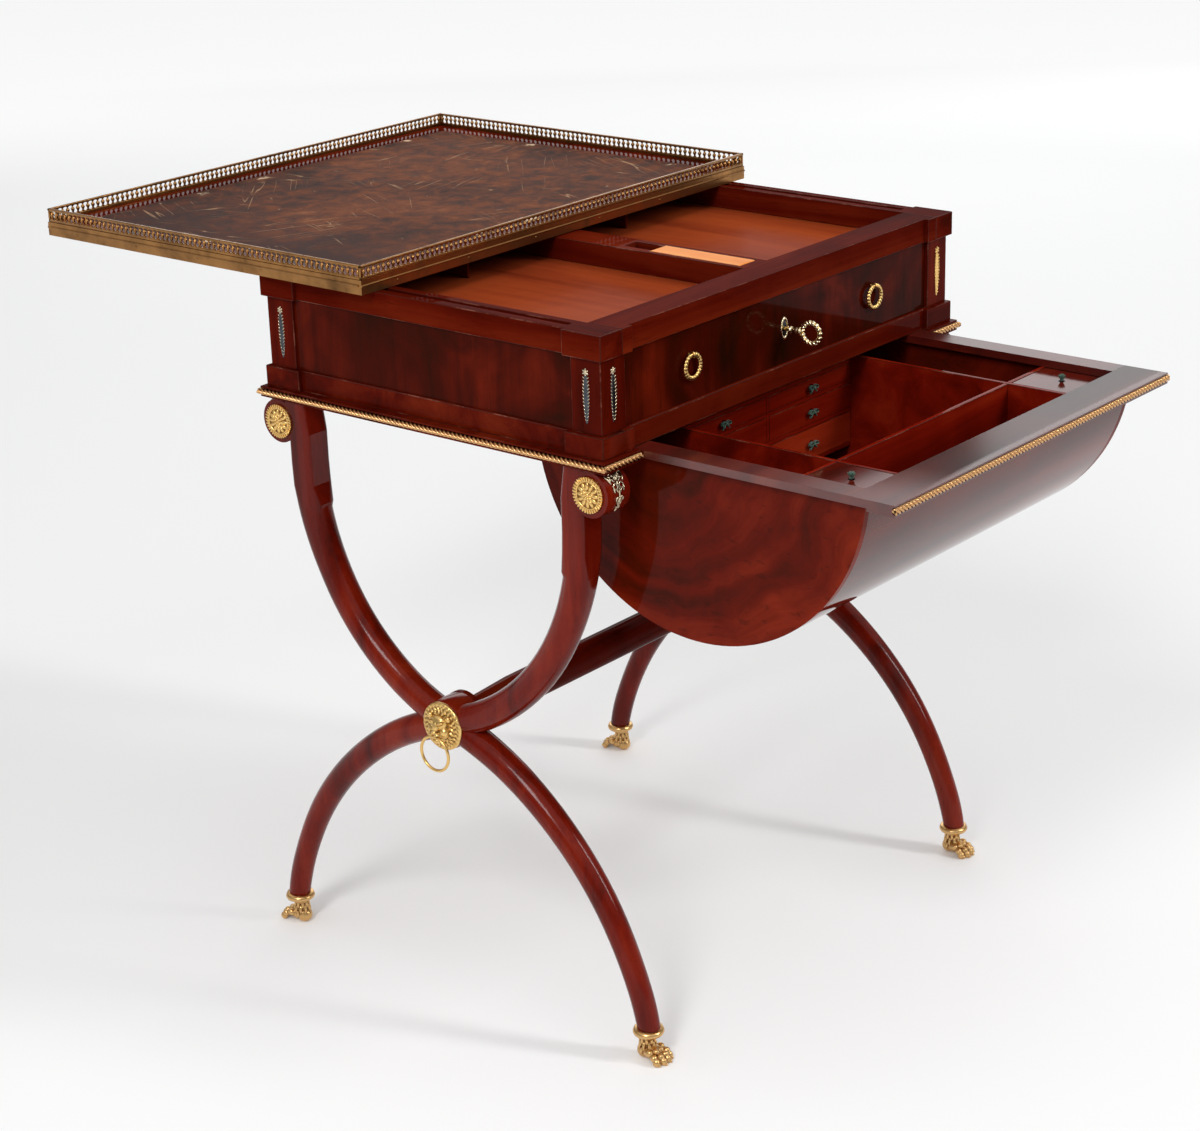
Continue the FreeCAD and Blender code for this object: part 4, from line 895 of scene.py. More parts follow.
def to_four(piece, name):
    """A piece at the right back corner and its mirror images at the other three, joined."""
    pieces = [piece]
    for flip_x, flip_y in ((-1, 1), (1, -1), (-1, -1)):
        pieces.append(copied(piece, about=(0, case_mid_y, 0), scale=(flip_x, flip_y, 1)))
    return smooth(joined(name, *pieces), 45)


print("the case's middle is at y", round(case_mid_y, 4))

# %% [markdown]
# Each scroll ends in a gilt roundel: a disc with a border of radial notches and a rosette in the
# middle. The disc is turned. One bar of the border and one petal of each row are modelled, and copies
# are turned round the disc's axis. The bars go right to the rim, so they notch its outline, and the
# inner petals lean more steeply. Places are millimetres from the middle of the disc's back.

# %% Scroll roundels
ROUNDEL_RADIUS, ROUNDEL_THICK = 18 * MM, 4 * MM
scroll_y = (round_high.y - round_low.y) / 2 - ROUNDEL_RADIUS
scroll_z = (round_low.z + round_high.z) / 2
face_x = round_high.x - ROUNDEL_THICK
BARS, OUTER_PETALS, INNER_PETALS = 34, 12, 8
ROUNDEL_PROFILE = (
    (0, 17.4), (1.3, 17.4), (1.6, 16.8), (1.6, 14.4), (2.5, 14.0),
    (2.7, 13.5), (2.5, 13.0), (1.6, 12.6), (1.8, 8), (2.4, 0),
)


def make_roundel(centre):
    """A roundel that faces +X, with its back at centre."""
    centre = Vector(centre)

    def petal_at(place, radii, lean):
        return pebble(centre + Vector(place) * MM, Vector(radii) * MM, turn_about("Y", lean), 12)

    disc = spun(in_mm(ROUNDEL_PROFILE), "X", centre, steps=48)
    bar_low, bar_high = Vector((0.6, -0.95, 13.6)) * MM, Vector((2.7, 0.95, 18.0)) * MM
    bar = block(centre + bar_low, centre + bar_high, 0.45 * MM)
    petal = petal_at((2.0, 0, 8.9), (1.5, 2.1, 4.0), -0.1)
    inner = petal_at((2.6, 0, 4.8), (1.3, 1.7, 3.1), -0.22)
    boss = pebble(centre + Vector((2.6, 0, 0)) * MM, Vector((1.4, 2.2, 2.2)) * MM, fine=16)
    pieces = [disc, boss] + ring_of(bar, BARS, centre) + ring_of(petal, OUTER_PETALS, centre)
    pieces += ring_of(inner, INNER_PETALS, centre, start=0.2)
    for model in (bar, petal, inner):
        discard(model)
    return joined("roundel", *pieces)


roundels = to_four(make_roundel((face_x, case_mid_y + scroll_y, scroll_z)), "roundels")
finished(roundels, gilt, "case", "gilt", "scroll_roundels")

# %% [markdown]
# A pierced palmette clasps the outer side of every scroll. It is drawn as a flat ornament, with two
# volutes, a fan of leaves and a tapering husk, and each part of it is swung round the scroll's axis
# to its height on the round. The part is built where the scroll faces straight out, at +Y.

# %% Leaves and volutes
SCROLL_RADIUS, PALMETTE_LIFT, LEAF_DEPTH = 23 * MM, 0.9 * MM, 0.9
leg_low, leg_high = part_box("right_front_leg")
leg_x = (leg_low.x + leg_high.x) / 2
scroll_axis = Vector((0, case_mid_y + scroll_y, scroll_z))
palm_root = Vector((leg_x, case_mid_y + scroll_y + SCROLL_RADIUS + PALMETTE_LIFT, scroll_z))


def on_scroll(piece, height):
    """Swings a piece round the scroll, by the length of arc that it should stand at."""
    swung = copied(piece, turn=turn_about("X", height * MM / SCROLL_RADIUS), about=scroll_axis)
    discard(piece)
    return swung


def palm_leaf(across, height, length, width, lean):
    """A slim leaf, leaned to one side and laid on the scroll."""
    root = palm_root + Vector((across, 0, 0)) * MM
    leaf = pebble(root, Vector((width, LEAF_DEPTH, length)) * MM, turn_about("Y", lean))
    return on_scroll(leaf, height)


def volute(across, height, radius, wire):
    """A curl of wire, laid on the scroll."""
    ring = hoop(palm_root + Vector((across, 0, 0)) * MM, "Y", radius * MM, wire * MM, 24, 8)
    return on_scroll(ring, height)


print("scrolls at y", round(case_mid_y - scroll_y, 3), "and", round(case_mid_y + scroll_y, 3))

# %% [markdown]
# The ornament is written as it would be drawn on paper, in millimetres across and up from the middle
# of the scroll. A volute has a radius and a wire, and a leaf has a length, a width and a lean. What
# stands on one side of the middle stands on the other too, so one half is listed and mirrored.

# %% Palmettes
VOLUTES = ((6.6, 19.5, 4.4, 0.9), (6.2, 19.8, 1.6, 0.9), (4.2, 8.5, 2.8, 0.8), (2.8, -3.5, 2.0, 0.75))
MIDDLE_LEAVES = (
    (0, 20, 6.2, 1.4, 0), (0, 10.5, 3.2, 1.5, 0), (0, 2.0, 5.6, 1.1, 0), (0, -8.5, 5.5, 1.2, 0),
    (0, -15.5, 3.6, 1.5, 0),
)
SIDE_LEAVES = (
    (2.6, 18.5, 5.6, 1.1, 0.38), (5.0, 15.0, 4.4, 1.0, 0.85), (9.4, 14.6, 3.4, 0.9, 0.4),
    (2.6, 4.6, 3.0, 1.0, 0.6), (6.8, 5.5, 2.8, 0.9, 0.3), (2.0, -8.0, 2.8, 0.9, 0.55),
    (1.6, -13.0, 2.6, 0.8, 0.45),
)
ornament = []
for across, height, radius, wire in VOLUTES:
    ornament += [volute(side * across, height, radius, wire) for side in (-1, 1)]
ornament += [palm_leaf(*leaf) for leaf in MIDDLE_LEAVES]
for side in (-1, 1):
    for across, height, length, width, lean in SIDE_LEAVES:
        ornament.append(palm_leaf(side * across, height, length, width, side * lean))
palmettes = to_four(joined("palmette", *ornament), "palmettes")
finished(palmettes, silver_gilt, "case", "gilt", "scroll_palmettes")

# %% [markdown]
# A leaf mount hangs on two faces of each corner post: a small flower over a long blade with leaflets
# along both its edges, which lean out and catch the light. The mount is modelled once about the
# origin, from pebbles, so that copies of it can be moved and turned to every post.

# %% One leaf mount
leaf_low, leaf_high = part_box("leaf_mounts")
LEAF_THICK, POST_HALF, LEAFLETS = 1.6 * MM, 18 * MM, 13
leaf_mid_z = (leaf_low.z + leaf_high.z) / 2
LEAF_RISE = leaf_high.z - leaf_low.z


def make_leaf_mount():
    """A flower over a leaf, about the origin and facing -Y: the blade, then all that lies on it."""
    blade = pebble((0, 0, -0.03 * LEAF_RISE), (3.2 * MM, 0.7 * MM, 0.47 * LEAF_RISE), fine=20)
    flower = 0.43 * LEAF_RISE
    pieces = [pebble((0, 0, flower), Vector((1.9, 1.5, 1.9)) * MM, fine=12)]
    petal = pebble((0, 0, flower + 2.4 * MM), Vector((1.1, 0.9, 1.6)) * MM, fine=10)
    pieces += ring_of(petal, 6, (0, 0, flower), "Y")
    discard(petal)
    for number in range(LEAFLETS):
        part = (number + 0.5) / LEAFLETS
        height = (0.36 - 0.82 * part) * LEAF_RISE
        out = 3.0 * math.sin(math.pi * (0.22 + 0.76 * part)) ** 0.7
        for side in (-1, 1):
            radii = Vector((0.62, 1.0, 1.9)) * (0.7 + 0.3 * out / 3.0) * MM
            place = (side * out * MM, -0.2 * MM, height)
            pieces.append(pebble(place, radii, turn_about("Y", side * 0.85), 10))
    return blade, joined("leaflets", *pieces)


print("a leaf mount has", 2 * LEAFLETS, "leaflets")

# %% [markdown]
# On the left posts the blades are nearly black, and only the leaflets are bright. On the right posts
# the mounts are gold all over. So the left blades and leaflets are two pieces with a finish each, and
# the right mounts are one.

# %% Leaf mounts on their posts
models = make_leaf_mount()
right, left = ([], []), ([], [])
post_face_x = leaf_high.x - LEAF_THICK
post_face_y = (leaf_high.y - leaf_low.y) / 2 - LEAF_THICK
for side_x in (-1, 1):
    for side_y in (-1, 1):
        mounts = right if side_x > 0 else left
        front_at = (side_x * (post_face_x - POST_HALF), case_mid_y + side_y * post_face_y, leaf_mid_z)
        side_at = (side_x * post_face_x, case_mid_y + side_y * (post_face_y - POST_HALF), leaf_mid_z)
        for shelf, model in zip(mounts, models):
            shelf.append(copied(model, move=front_at))
            shelf.append(copied(model, move=side_at, turn=turn_about("Z", math.pi / 2)))
for model in models:
    discard(model)
finished(smooth(joined("leaf_mounts_right", *right[0], *right[1]), 60), gilt, "case", "gilt", "leaf_mounts")
finished(smooth(joined("leaf_blades_left", *left[0]), 60), dark_gilt, "case", "gilt")
finished(smooth(joined("leaflets_left", *left[1]), 60), silver_gilt, "case", "gilt")

# %% [markdown]
# Cast ornament such as a paw has no straight edges. It is built as a founder builds a wax: lumps are
# pressed together, a voxel remesh makes them one skin, and a smooth modifier softens the joins. The
# model stands at the right back foot with its toes towards +Y, and is mirrored to the other three.

# %% Paw feet
paw_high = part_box("paw_feet")[1]
PAW_REACH, TUFTS = 22.7 * MM, 9
foot = Vector((leg_x, paw_high.y - PAW_REACH, 0))
ankle = foot + Vector((0, -1.5, 0)) * MM


def lump(place, radii, turn=None):
    """A lump of the paw, in millimetres from the foot's middle on the floor."""
    return pebble(foot + Vector(place) * MM, Vector(radii) * MM, turn, 20)


def wax(name, lumps, voxel, rounds):
    """Lumps pressed into one skin; rounds is how often the joins are smoothed."""
    piece = joined(name, *lumps)
    modified(piece, "REMESH", mode="VOXEL", voxel_size=voxel)
    return modified(piece, "SMOOTH", factor=0.5, iterations=rounds)


lumps = [
    lump((0, -4.5, 7.6), (8.6, 8.8, 8.2)), lump((0, 4, 8.6), (9.6, 11.5, 7.6)),
    lump((0, -1.5, 17), (7.4, 7.6, 12)), lump((0, -0.5, 25), (8.6, 8.6, 4.5)),
]
# Four toes, each of a knuckle, a joint, a tip and a claw
for across, ahead in ((-10.2, 13.6), (-3.6, 17.2), (3.6, 17.2), (10.2, 13.6)):
    lumps.append(lump((across * 0.92, ahead - 6.4, 10.8), (3.5, 4.8, 3.8), turn_about("X", 0.3)))
    lumps.append(lump((across, ahead + 0.6, 7.8), (3.7, 3.8, 3.8)))
    lumps.append(lump((across, ahead + 3.6, 3.9), (3.8, 4.2, 4.4)))
    lumps.append(lump((across, ahead + 7.4, 2.2), (1.4, 2.0, 1.9)))
# Three rings of tufts round the ankle
for rise, out, length, start in ((21.5, 7.6, 4.0, 0.0), (15.5, 8.4, 4.4, 0.33), (10.5, 9.0, 3.6, 0.0)):
    tuft = lump((0, -1.5 - out, rise), (1.5, 1.2, length), turn_about("X", -0.2))
    lumps += ring_of(tuft, TUFTS, ankle, "Z", start)
    discard(tuft)
paw = wax("paw", lumps, 0.55 * MM, 3)
edit(paw)
bpy.ops.mesh.bisect(plane_co=(0, 0, 0.1 * MM), plane_no=(0, 0, -1), use_fill=True, clear_outer=True)
clear()
print("paw of", len(paw.data.polygons), "faces")

# %% [markdown]
# A turned collar closes the joint between the paw and the leg. Paw and collar are one casting, so
# they are joined before the other three are mirrored from them.

# %% Paw collars
COLLAR_PROFILE = (
    (26.6, 0), (26.6, 9.6), (27.2, 13.4), (28.4, 15.2), (30.6, 16.1),
    (32.6, 15.5), (33.6, 14.4), (34.2, 14.6), (34.8, 13.6), (34.8, 11.0),
)
collar = spun(in_mm(COLLAR_PROFILE), "Z", foot, steps=40)
paws = to_four(joined("paw", paw, collar), "paws")
finished(paws, paw_gilt, "case", "gilt", "paw_feet")

# %% [markdown]
# A lion's mask covers the crossing of each X end. It is pressed from lumps in the same way, over a
# turned disc: locks of the mane in three rings, each leaning against the last, then the features of
# the face.

# %% Lion's mane and face
mask_low, mask_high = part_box("lion_masks")
ring_low, ring_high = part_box("right_lion_ring")
mask_z = (mask_low.z + mask_high.z) / 2
MASK_SEAT, RING_WIRE = 13.5 * MM, 1.6 * MM
mask_at = Vector((leg_x + MASK_SEAT, case_mid_y, mask_z))
ring_eye = Vector(((ring_low.x + ring_high.x) / 2, case_mid_y, ring_high.z - RING_WIRE))


def feature(place, radii, turn=None):
    """A lump of the mask, in millimetres from the middle of the disc's back."""
    return pebble(mask_at + Vector(place) * MM, Vector(radii) * MM, turn, 16)


DISC_PROFILE = (
    (0, 0), (0, 26), (2.0, 26), (3.0, 25.2), (3.4, 24.0), (3.6, 20), (4.6, 15), (6.0, 9), (6.0, 0),
)
# Rows of the mane as (radius, how far they stand out, lean, number of locks)
MANE = ((22.6, 3.0, 0.5, 30), (18.6, 3.9, -0.5, 25), (14.8, 5.0, 0.4, 19))
features = [spun(in_mm(DISC_PROFILE), "X", mask_at, steps=48)]
for row, (radius, out, lean, count) in enumerate(MANE):
    lock = feature((out, 0, radius), (1.2, 1.5, 3.0), turn_about("X", lean))
    features += ring_of(lock, count, mask_at, start=0.11 * row)
    discard(lock)
# Forehead, bridge and tip of the nose, chin and jaw
features += [
    feature((7.0, 0, 5.0), (6.0, 10.6, 9.6)),
    feature((11.2, 0, 2.6), (4.2, 3.4, 8.2), turn_about("Y", -0.3)),
    feature((15.4, 0, -2.2), (2.2, 3.4, 2.0)),
    feature((10.2, 0, -12.8), (4.6, 5.4, 3.4)),
    feature((6.5, 0, -10.5), (5.0, 8.5, 6.0)),
]
# Brow, eye, cheek, muzzle and ear on each side
for side in (-1, 1):
    features += [
        feature((11.2, side * 5.2, 7.0), (2.6, 4.6, 1.9), turn_about("X", side * 0.35)),
        feature((10.8, side * 5.0, 3.2), (1.7, 2.3, 1.4)),
        feature((7.6, side * 7.8, -3.4), (5.2, 5.6, 6.6)),
        feature((12.8, side * 3.5, -5.4), (4.8, 4.2, 3.4)),
        feature((6.4, side * 12.2, 11.4), (2.4, 3.2, 3.4)),
    ]
mask = wax("lion_mask", features, 0.6 * MM, 3)
print("lion's mask of", len(mask.data.polygons), "faces")

# %% [markdown]
# The ring hangs in the lion's mouth, so a boolean bores the mouth out with room for the ring to swing.
# The second mask is the first one mirrored to the other end of the table.

# %% Lion masks
BORE_RADIUS, BORE_LENGTH = 2.9 * MM, 24 * MM
clear()
bpy.ops.mesh.primitive_cylinder_add(
    vertices=24, radius=BORE_RADIUS, depth=BORE_LENGTH, location=ring_eye, rotation=(math.pi / 2, 0, 0)
)
bore = settled(bpy.context.object)
modified(mask, "BOOLEAN", operation="DIFFERENCE", object=bore, solver="EXACT")
discard(bore)
other = copied(mask, scale=(-1, 1, 1))
masks = smooth(joined("masks", mask, other), 60)
finished(masks, gilt, "case", "gilt", "lion_masks")

# %% [markdown]
# The stretcher's end goes through the crossing as a round boss, and the mask sits on it. The boss
# shows in the angles between the legs. It is turned in one piece, with a rounded inner rim.

# %% Crossing bosses
BOSS_PROFILE = (
    (-24, 0), (-24, 22), (-22.8, 25), (-20, 26.6), (8, 26.6), (12, 25.6), (13.4, 24.6), (13.4, 0),
)
boss = spun(in_mm(BOSS_PROFILE), "X", (leg_x, case_mid_y, mask_z), steps=48)
bosses = smooth(joined("crossing_bosses", boss, copied(boss, scale=(-1, 1, 1))), 35)
finished(bosses, legs_wood, "case", "mahogany")

# %% [markdown]
# Under its scroll a leg is squared, and lower down it is round. The joiner lets the square run out
# along the outer side in a long taper, and stops it short on the inner side. The taper is a loft:
# rings stand across the leg's centre line, each rounder than the last, and a bridge skins them.
# The centre line is the upper arc of the leg: its radius, and its slopes at the crossing and at the
# stem, in radians.

# %% Leg tapers
ARC_RADIUS, ARC_START, CROSSING_Z = 256.0 * MM, 0.2942, 304.5 * MM
STEM_TURN, LEG_RADIUS, TAPER, RINGS = 1.3961, 16.2 * MM, 75 * MM, 10
ROUND_REACH, HIDDEN_REACH = LEG_RADIUS * 0.997, LEG_RADIUS * 0.85
SQUARE_HALF, SQUARE_CORNER, PROUD = LEG_RADIUS * 1.03, LEG_RADIUS * 0.8, 0.03 * MM


def squared_reach(angle, half, corner):
    """How far a square with rounded corners reaches at an angle from its middle."""
    across, up = sorted((abs(math.cos(angle)), abs(math.sin(angle))))
    if half * across / up <= half - corner:
        return half / up
    centre = half - corner
    along = centre * (across + up)
    return along + math.sqrt(along**2 - 2 * centre**2 + corner**2)


def taper_ring(part):
    """A ring of the taper: 0 is the square's end, 1 the round leg; its inner side stays in the leg."""
    turn = STEM_TURN - part * TAPER / ARC_RADIUS
    across = ARC_RADIUS * (math.sin(turn) - math.sin(ARC_START))
    rise = ARC_RADIUS * (math.cos(ARC_START) - math.cos(turn))
    centre = Vector((leg_x, case_mid_y + across, CROSSING_Z + rise))
    aside, outer = Vector((1, 0, 0)), Vector((0, math.sin(turn), -math.cos(turn)))
    clear()
    bpy.ops.mesh.primitive_circle_add(vertices=40, radius=1, fill_type="NOTHING")
    ring = bpy.context.object
    for vertex in ring.data.vertices:
        angle = math.atan2(vertex.co.y, vertex.co.x)
        square = squared_reach(angle, SQUARE_HALF, SQUARE_CORNER) + PROUD
        taper = ROUND_REACH + (square - ROUND_REACH) * (1 - part) ** 1.3
        shown = min(max((math.sin(angle) + 0.62) / 0.4, 0), 1)
        reach = HIDDEN_REACH + (taper - HIDDEN_REACH) * shown
        vertex.co = centre + (aside * math.cos(angle) + outer * math.sin(angle)) * reach
    return ring


taper = joined("leg_taper", *[taper_ring(number / RINGS) for number in range(RINGS + 1)])
edit(taper)
bpy.ops.mesh.bridge_edge_loops()
bpy.ops.mesh.select_all(action="SELECT")
bpy.ops.mesh.fill_holes(sides=0)
tapers = to_four(outward(taper), "leg_tapers")
finished(tapers, legs_wood, "case", "mahogany")

# %% [markdown]
# The frieze drawer is drawn by two wreath rings. A wreath is a ring of overlapping leaves: one leaf is
# modelled, leaned a little, and copied round the ring. The leaves stop short of the top, where a
# plain neck runs in its staple.

# %% Pull rings
RING_LEAVES = 22
for side in ("left", "right"):
    low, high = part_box(f"{side}_pull_ring")
    centre = (low + high) / 2
    wire = (high.y - low.y) / 2
    radius = (high.x - low.x) / 2 - wire
    ring_top = centre + Vector((0, 0, radius))
    leaf = pebble(ring_top, (2.9 * MM, wire, wire * 1.42), turn_about("Y", 0.3), 12)
    wreath = ring_of(leaf, RING_LEAVES, centre, "Y", math.pi / RING_LEAVES)
    for near_top in (wreath.pop(), wreath.pop(0)):
        discard(near_top)
    wreath.append(pebble(ring_top, (5.5 * MM, wire * 0.9, wire * 0.9), fine=12))
    discard(leaf)
    ring = smooth(joined(f"{side}_wreath", *wreath), 60)
    finished(ring, gilt, f"{side}_pull_ring", "gilt", f"{side}_pull_ring")

# %% [markdown]
# A staple holds each ring's neck: a loop of wire round the neck, with room to turn, on a short stem
# that goes into the drawer front. The loop is a hoop drawn out along the neck, and the stem is turned.

# %% Ring staples
eyes_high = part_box("ring_eyes")[1]
EYE_INSET, LOOP_ROOM, LOOP_WIRE, LOOP_STRETCH = 5 * MM, 0.75 * MM, 0.6 * MM, 1.7
stem_start, stem_end = wire + 0.4 * MM, eyes_high.y - ring_top.y
STEM = ((stem_start, 0), (stem_start, 1.1 * MM), (stem_end, 1.4 * MM), (stem_end, 0))
staples = []
for side in (-1, 1):
    neck = Vector((side * (eyes_high.x - EYE_INSET), ring_top.y, ring_top.z))
    loop = hoop(neck, "X", wire + LOOP_ROOM, LOOP_WIRE, 24, 8)
    stem = spun(STEM, "Y", neck, steps=12)
    staples += [copied(loop, about=neck, scale=(LOOP_STRETCH, 1, 1)), stem]
    discard(loop)
ring_staples = smooth(joined("ring_staples", *staples), 60)
finished(ring_staples, gilt, "frieze_drawer", "gilt", "ring_eyes")

# %% [markdown]
# The key stands in its lock. Its shaft is turned with a collar, a baluster and a bead, and its bow is
# a ring of twisted wire, made like the wreaths but with shorter, steeper leaves. Both slip over the
# plain key of the frame.

# %% Key
key_low, key_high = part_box("key")
BOW_RADIUS, BOW_WIRE, BOW_STRANDS, OVERLAP = 10.5 * MM, 1.9 * MM, 16, 0.4 * MM
bow_mid = Vector((0, key_low.y + BOW_WIRE + BOW_RADIUS, key_high.z - BOW_RADIUS - BOW_WIRE))
bow_top = bow_mid + Vector((0, 0, BOW_RADIUS))
strand = pebble(bow_top, Vector((2.6, 3.7, 1.9)) * MM, turn_about("X", 0.7), 14)
twist = ring_of(strand, BOW_STRANDS, bow_mid)
discard(strand)
finished(smooth(joined("key_bow", *twist), 60), pale_gilt, "key", "gilt")
SHAFT_PROFILE = (
    (0, 2.0), (0.6, 4.2), (2.0, 4.6), (2.8, 3.2), (3.6, 2.7), (6.0, 3.9),
    (9.0, 3.2), (12.0, 2.6), (13.0, 3.6), (14.2, 3.8), (15.0, 2.6), (17.0, 2.5),
)
shaft_start = bow_mid + Vector((0, BOW_RADIUS - OVERLAP, 0))
shaft = spun(in_mm(SHAFT_PROFILE), "Y", shaft_start, steps=24)
finished(smooth(joined("key_shaft", shaft), 40), pale_gilt, "key", "gilt")

# %% [markdown]
# The keyhole plate is a bright oval rim round a dark field, which is painted shade for the keyhole.
# The rim is a hoop drawn out upwards. The field is a flat pebble, sunk in the rim, and the key's shaft
# goes through it.

# %% Keyhole plate
plate_low, plate_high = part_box("escutcheon")
RIM_WIRE, KEYHOLE_SHADE_RISE = 1.0 * MM, 0.6 * MM
plate_mid = (plate_low + plate_high) / 2
plate_mid.y = plate_high.y - RIM_WIRE / 2
plate_reach, plate_rise = (plate_high.x - plate_low.x) / 2, (plate_high.z - plate_low.z) / 2
rim = hoop(plate_mid, "Y", plate_reach - RIM_WIRE, RIM_WIRE, 40, 10)
oval = copied(rim, about=plate_mid, scale=(1, 1, plate_rise / plate_reach))
discard(rim)
finished(smooth(joined("plate_rim", oval), 60), pale_gilt, "frieze_drawer", "gilt", "escutcheon")
# The dark field is painted shade, standing for the keyhole.
keyhole_shade = pebble(plate_mid, (plate_reach - RIM_WIRE, KEYHOLE_SHADE_RISE, plate_rise - 2 * RIM_WIRE), fine=24)
finished(smooth(joined("plate_keyhole_shade", keyhole_shade), 60), dark_gilt, "frieze_drawer", "gilt")

# %% [markdown]
# A saw-sharp board looks unreal: two hundred years of dusting round every edge and wear the colour
# off it. A rounded edge has a finish of its own, which is paler and has no polish: partly from wear,
# and partly as a painted highlight along the edge. Noise breaks it up, so that the paleness comes and goes.

# %% Worn edges with a painted highlight
def worn_highlit_edge(name, pale, deep):
    """Rubbed wood with a painted highlight, for the rounded edges of a board."""
    material, shader, place = new_finish(name)
    worn_and_highlit = level(noise(place, 26.0, 5.0, 0.7), 0.50, 0.66)
    place.fill(shader.inputs["Base Color"], mix(worn_and_highlit, deep, pale))
    shader.inputs["Roughness"].default_value = 0.42
    shader.inputs["Specular IOR Level"].default_value = 0.1
    return material


# Both edge finishes are pale partly from wear and partly as a painted highlight.
red_worn_highlit_edge = worn_highlit_edge("worn_highlit_edge", (0.190, 0.060, 0.038), (0.060, 0.0060, 0.0020))
amber_worn_highlit_edge = worn_highlit_edge("worn_highlit_amber", (0.78, 0.42, 0.17), (0.42, 0.15, 0.045))
print("two worn edges made")

# %% [markdown]
# Each plain board is copied from the frame, because the frame's own meshes stay as they are. The
# copy's loose triangles are merged, flat faces are dissolved into one, and a bevel modifier rounds
# the edges that stand out. Corners that fold inwards stay sharp, since two boards meet there. The
# bevel gives its new faces the edge finish, which is pale from wear and from a painted highlight.

# %% Softening a board
# Faces within the first angle count as flat, and an edge past the second is rounded
FLAT, FOLD = math.radians(1), math.cos(math.radians(50))


def merged(name):
    """A copy of a node of the frame with its triangles merged into boards."""
    board = bpy.data.objects.new(f"{name}_board", nodes[name].data.copy())
    bpy.context.scene.collection.objects.link(board)
    edit(board)
    bpy.ops.mesh.remove_doubles(threshold=TOUCHING)
    bpy.ops.mesh.customdata_custom_splitnormals_clear()
    bpy.ops.mesh.dissolve_limited(angle_limit=FLAT)
    clear()
    return board


def mark_outer_edges(board):
    """Weights the edges that stand out, so that corners that fold inwards stay sharp."""
    sides = {}
    for face in board.data.polygons:
        for key in face.edge_keys:
            sides.setdefault(key, []).append(face)
    weights = board.data.attributes.new("bevel_weight_edge", "FLOAT", "EDGE")
    for edge in board.data.edges:
        faces = sides.get(edge.key, [])
        if len(faces) == 2:
            first, second = faces
            folded = first.normal.dot(second.normal) < FOLD
            standing = (second.center - first.center).dot(first.normal) < 0
            weights.data[edge.index].value = float(folded and standing)


def eased(board, name, finish, edge_finish, width):
    """Rounds a board's outer edges and puts it in the place of its node."""
    board.data.materials.clear()
    board.data.materials.append(finish)
    board.data.materials.append(edge_finish)
    mark_outer_edges(board)
    modified(
        board, "BEVEL", width=width, segments=2, limit_method="WEIGHT", material=1, use_clamp_overlap=True
    )
    smooth(board, 40)
    modified(board, "WEIGHTED_NORMAL", keep_sharp=True, weight=100)
    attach(board, nodes[name]["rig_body"])
    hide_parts(name)


print("boards can be softened")

# %% [markdown]
# The width of an edge follows the board: a thin divider is hardly rounded, and the frame of the box,
# which hands rub most, is rounded furthest. The nest of drawers and the ledges lie deep in the box,
# so their edges keep the board's own finish.

# %% Softened boards
# Widths of the rounded edges, in millimetres
BOARDS = {
    "corner_posts": 0.9, "side_top_rails": 0.9, "front_top_rail": 0.9, "back_top_rail": 0.9,
    "plinth": 1.1, "base_moulding": 1.2, "drawer_front": 0.8, "well_divider": 0.9,
    "well_partitions": 0.6, "box_frame": 1.4, "box_dividers": 0.7, "top_board": 1.0,
}
for name, width in BOARDS.items():
    eased(merged(name), name, FINISHES[name], red_worn_highlit_edge, width * MM)
INNER_BOARDS = {"drawer_nest": 0.4, "lid_ledges": 0.4}
for name, width in INNER_BOARDS.items():
    eased(merged(name), name, FINISHES[name], FINISHES[name], width * MM)
PEN_LID_EDGE = 0.8 * MM
eased(merged("pen_lid"), "pen_lid", amber, amber_worn_highlit_edge, PEN_LID_EDGE)
print(len(BOARDS) + len(INNER_BOARDS) + 1, "boards softened")

# %% [markdown]
# The six small drawers and the two corner lids are pulled by bits of green silk. In the frame each
# silk is only a peg, so the peg is cut off the copied board and its hole is closed, before the edges
# are rounded. The silks are made next.

# %% Small drawers and lids
SILK_RISE, DRAWER_EDGE, LID_EDGE = 7.5 * MM, 0.5 * MM, 0.6 * MM
# Which way a peg stands out: its axis and its side
FORWARD, UPWARD = (1, -1), (2, 1)


def without_peg(name, axis, side):
    """A merged board whose peg, the part that stands out furthest along one axis, is cut off."""
    board = merged(name)
    low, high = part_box(name)
    tip = low[axis] if side < 0 else high[axis]
    edit(board)
    bpy.ops.mesh.select_all(action="DESELECT")
    bpy.ops.object.mode_set(mode="OBJECT")
    for vertex in board.data.vertices:
        vertex.select = abs(vertex.co[axis] - tip) < SILK_RISE / 2
    bpy.ops.object.mode_set(mode="EDIT")
    bpy.ops.mesh.delete(type="VERT")
    bpy.ops.mesh.select_all(action="SELECT")
    bpy.ops.mesh.fill_holes(sides=0)
    bpy.ops.mesh.dissolve_limited(angle_limit=FLAT)
    clear()
    return board


small_drawers = [
    f"{row}_{side}_drawer" for row in ("upper", "middle", "lower") for side in ("left", "right")
]
lids = ("left_lid", "right_lid")
for name in small_drawers:
    eased(without_peg(name, *FORWARD), name, FINISHES[name], red_worn_highlit_edge, DRAWER_EDGE)
for name in lids:
    eased(without_peg(name, *UPWARD), name, FINISHES[name], red_worn_highlit_edge, LID_EDGE)
print(len(small_drawers), "small drawers and", len(lids), "lids")

# %% [markdown]
# The silk is dark green and has a soft sheen. Fine lines across it come from a noise that is squeezed
# across the threads far more than along them.

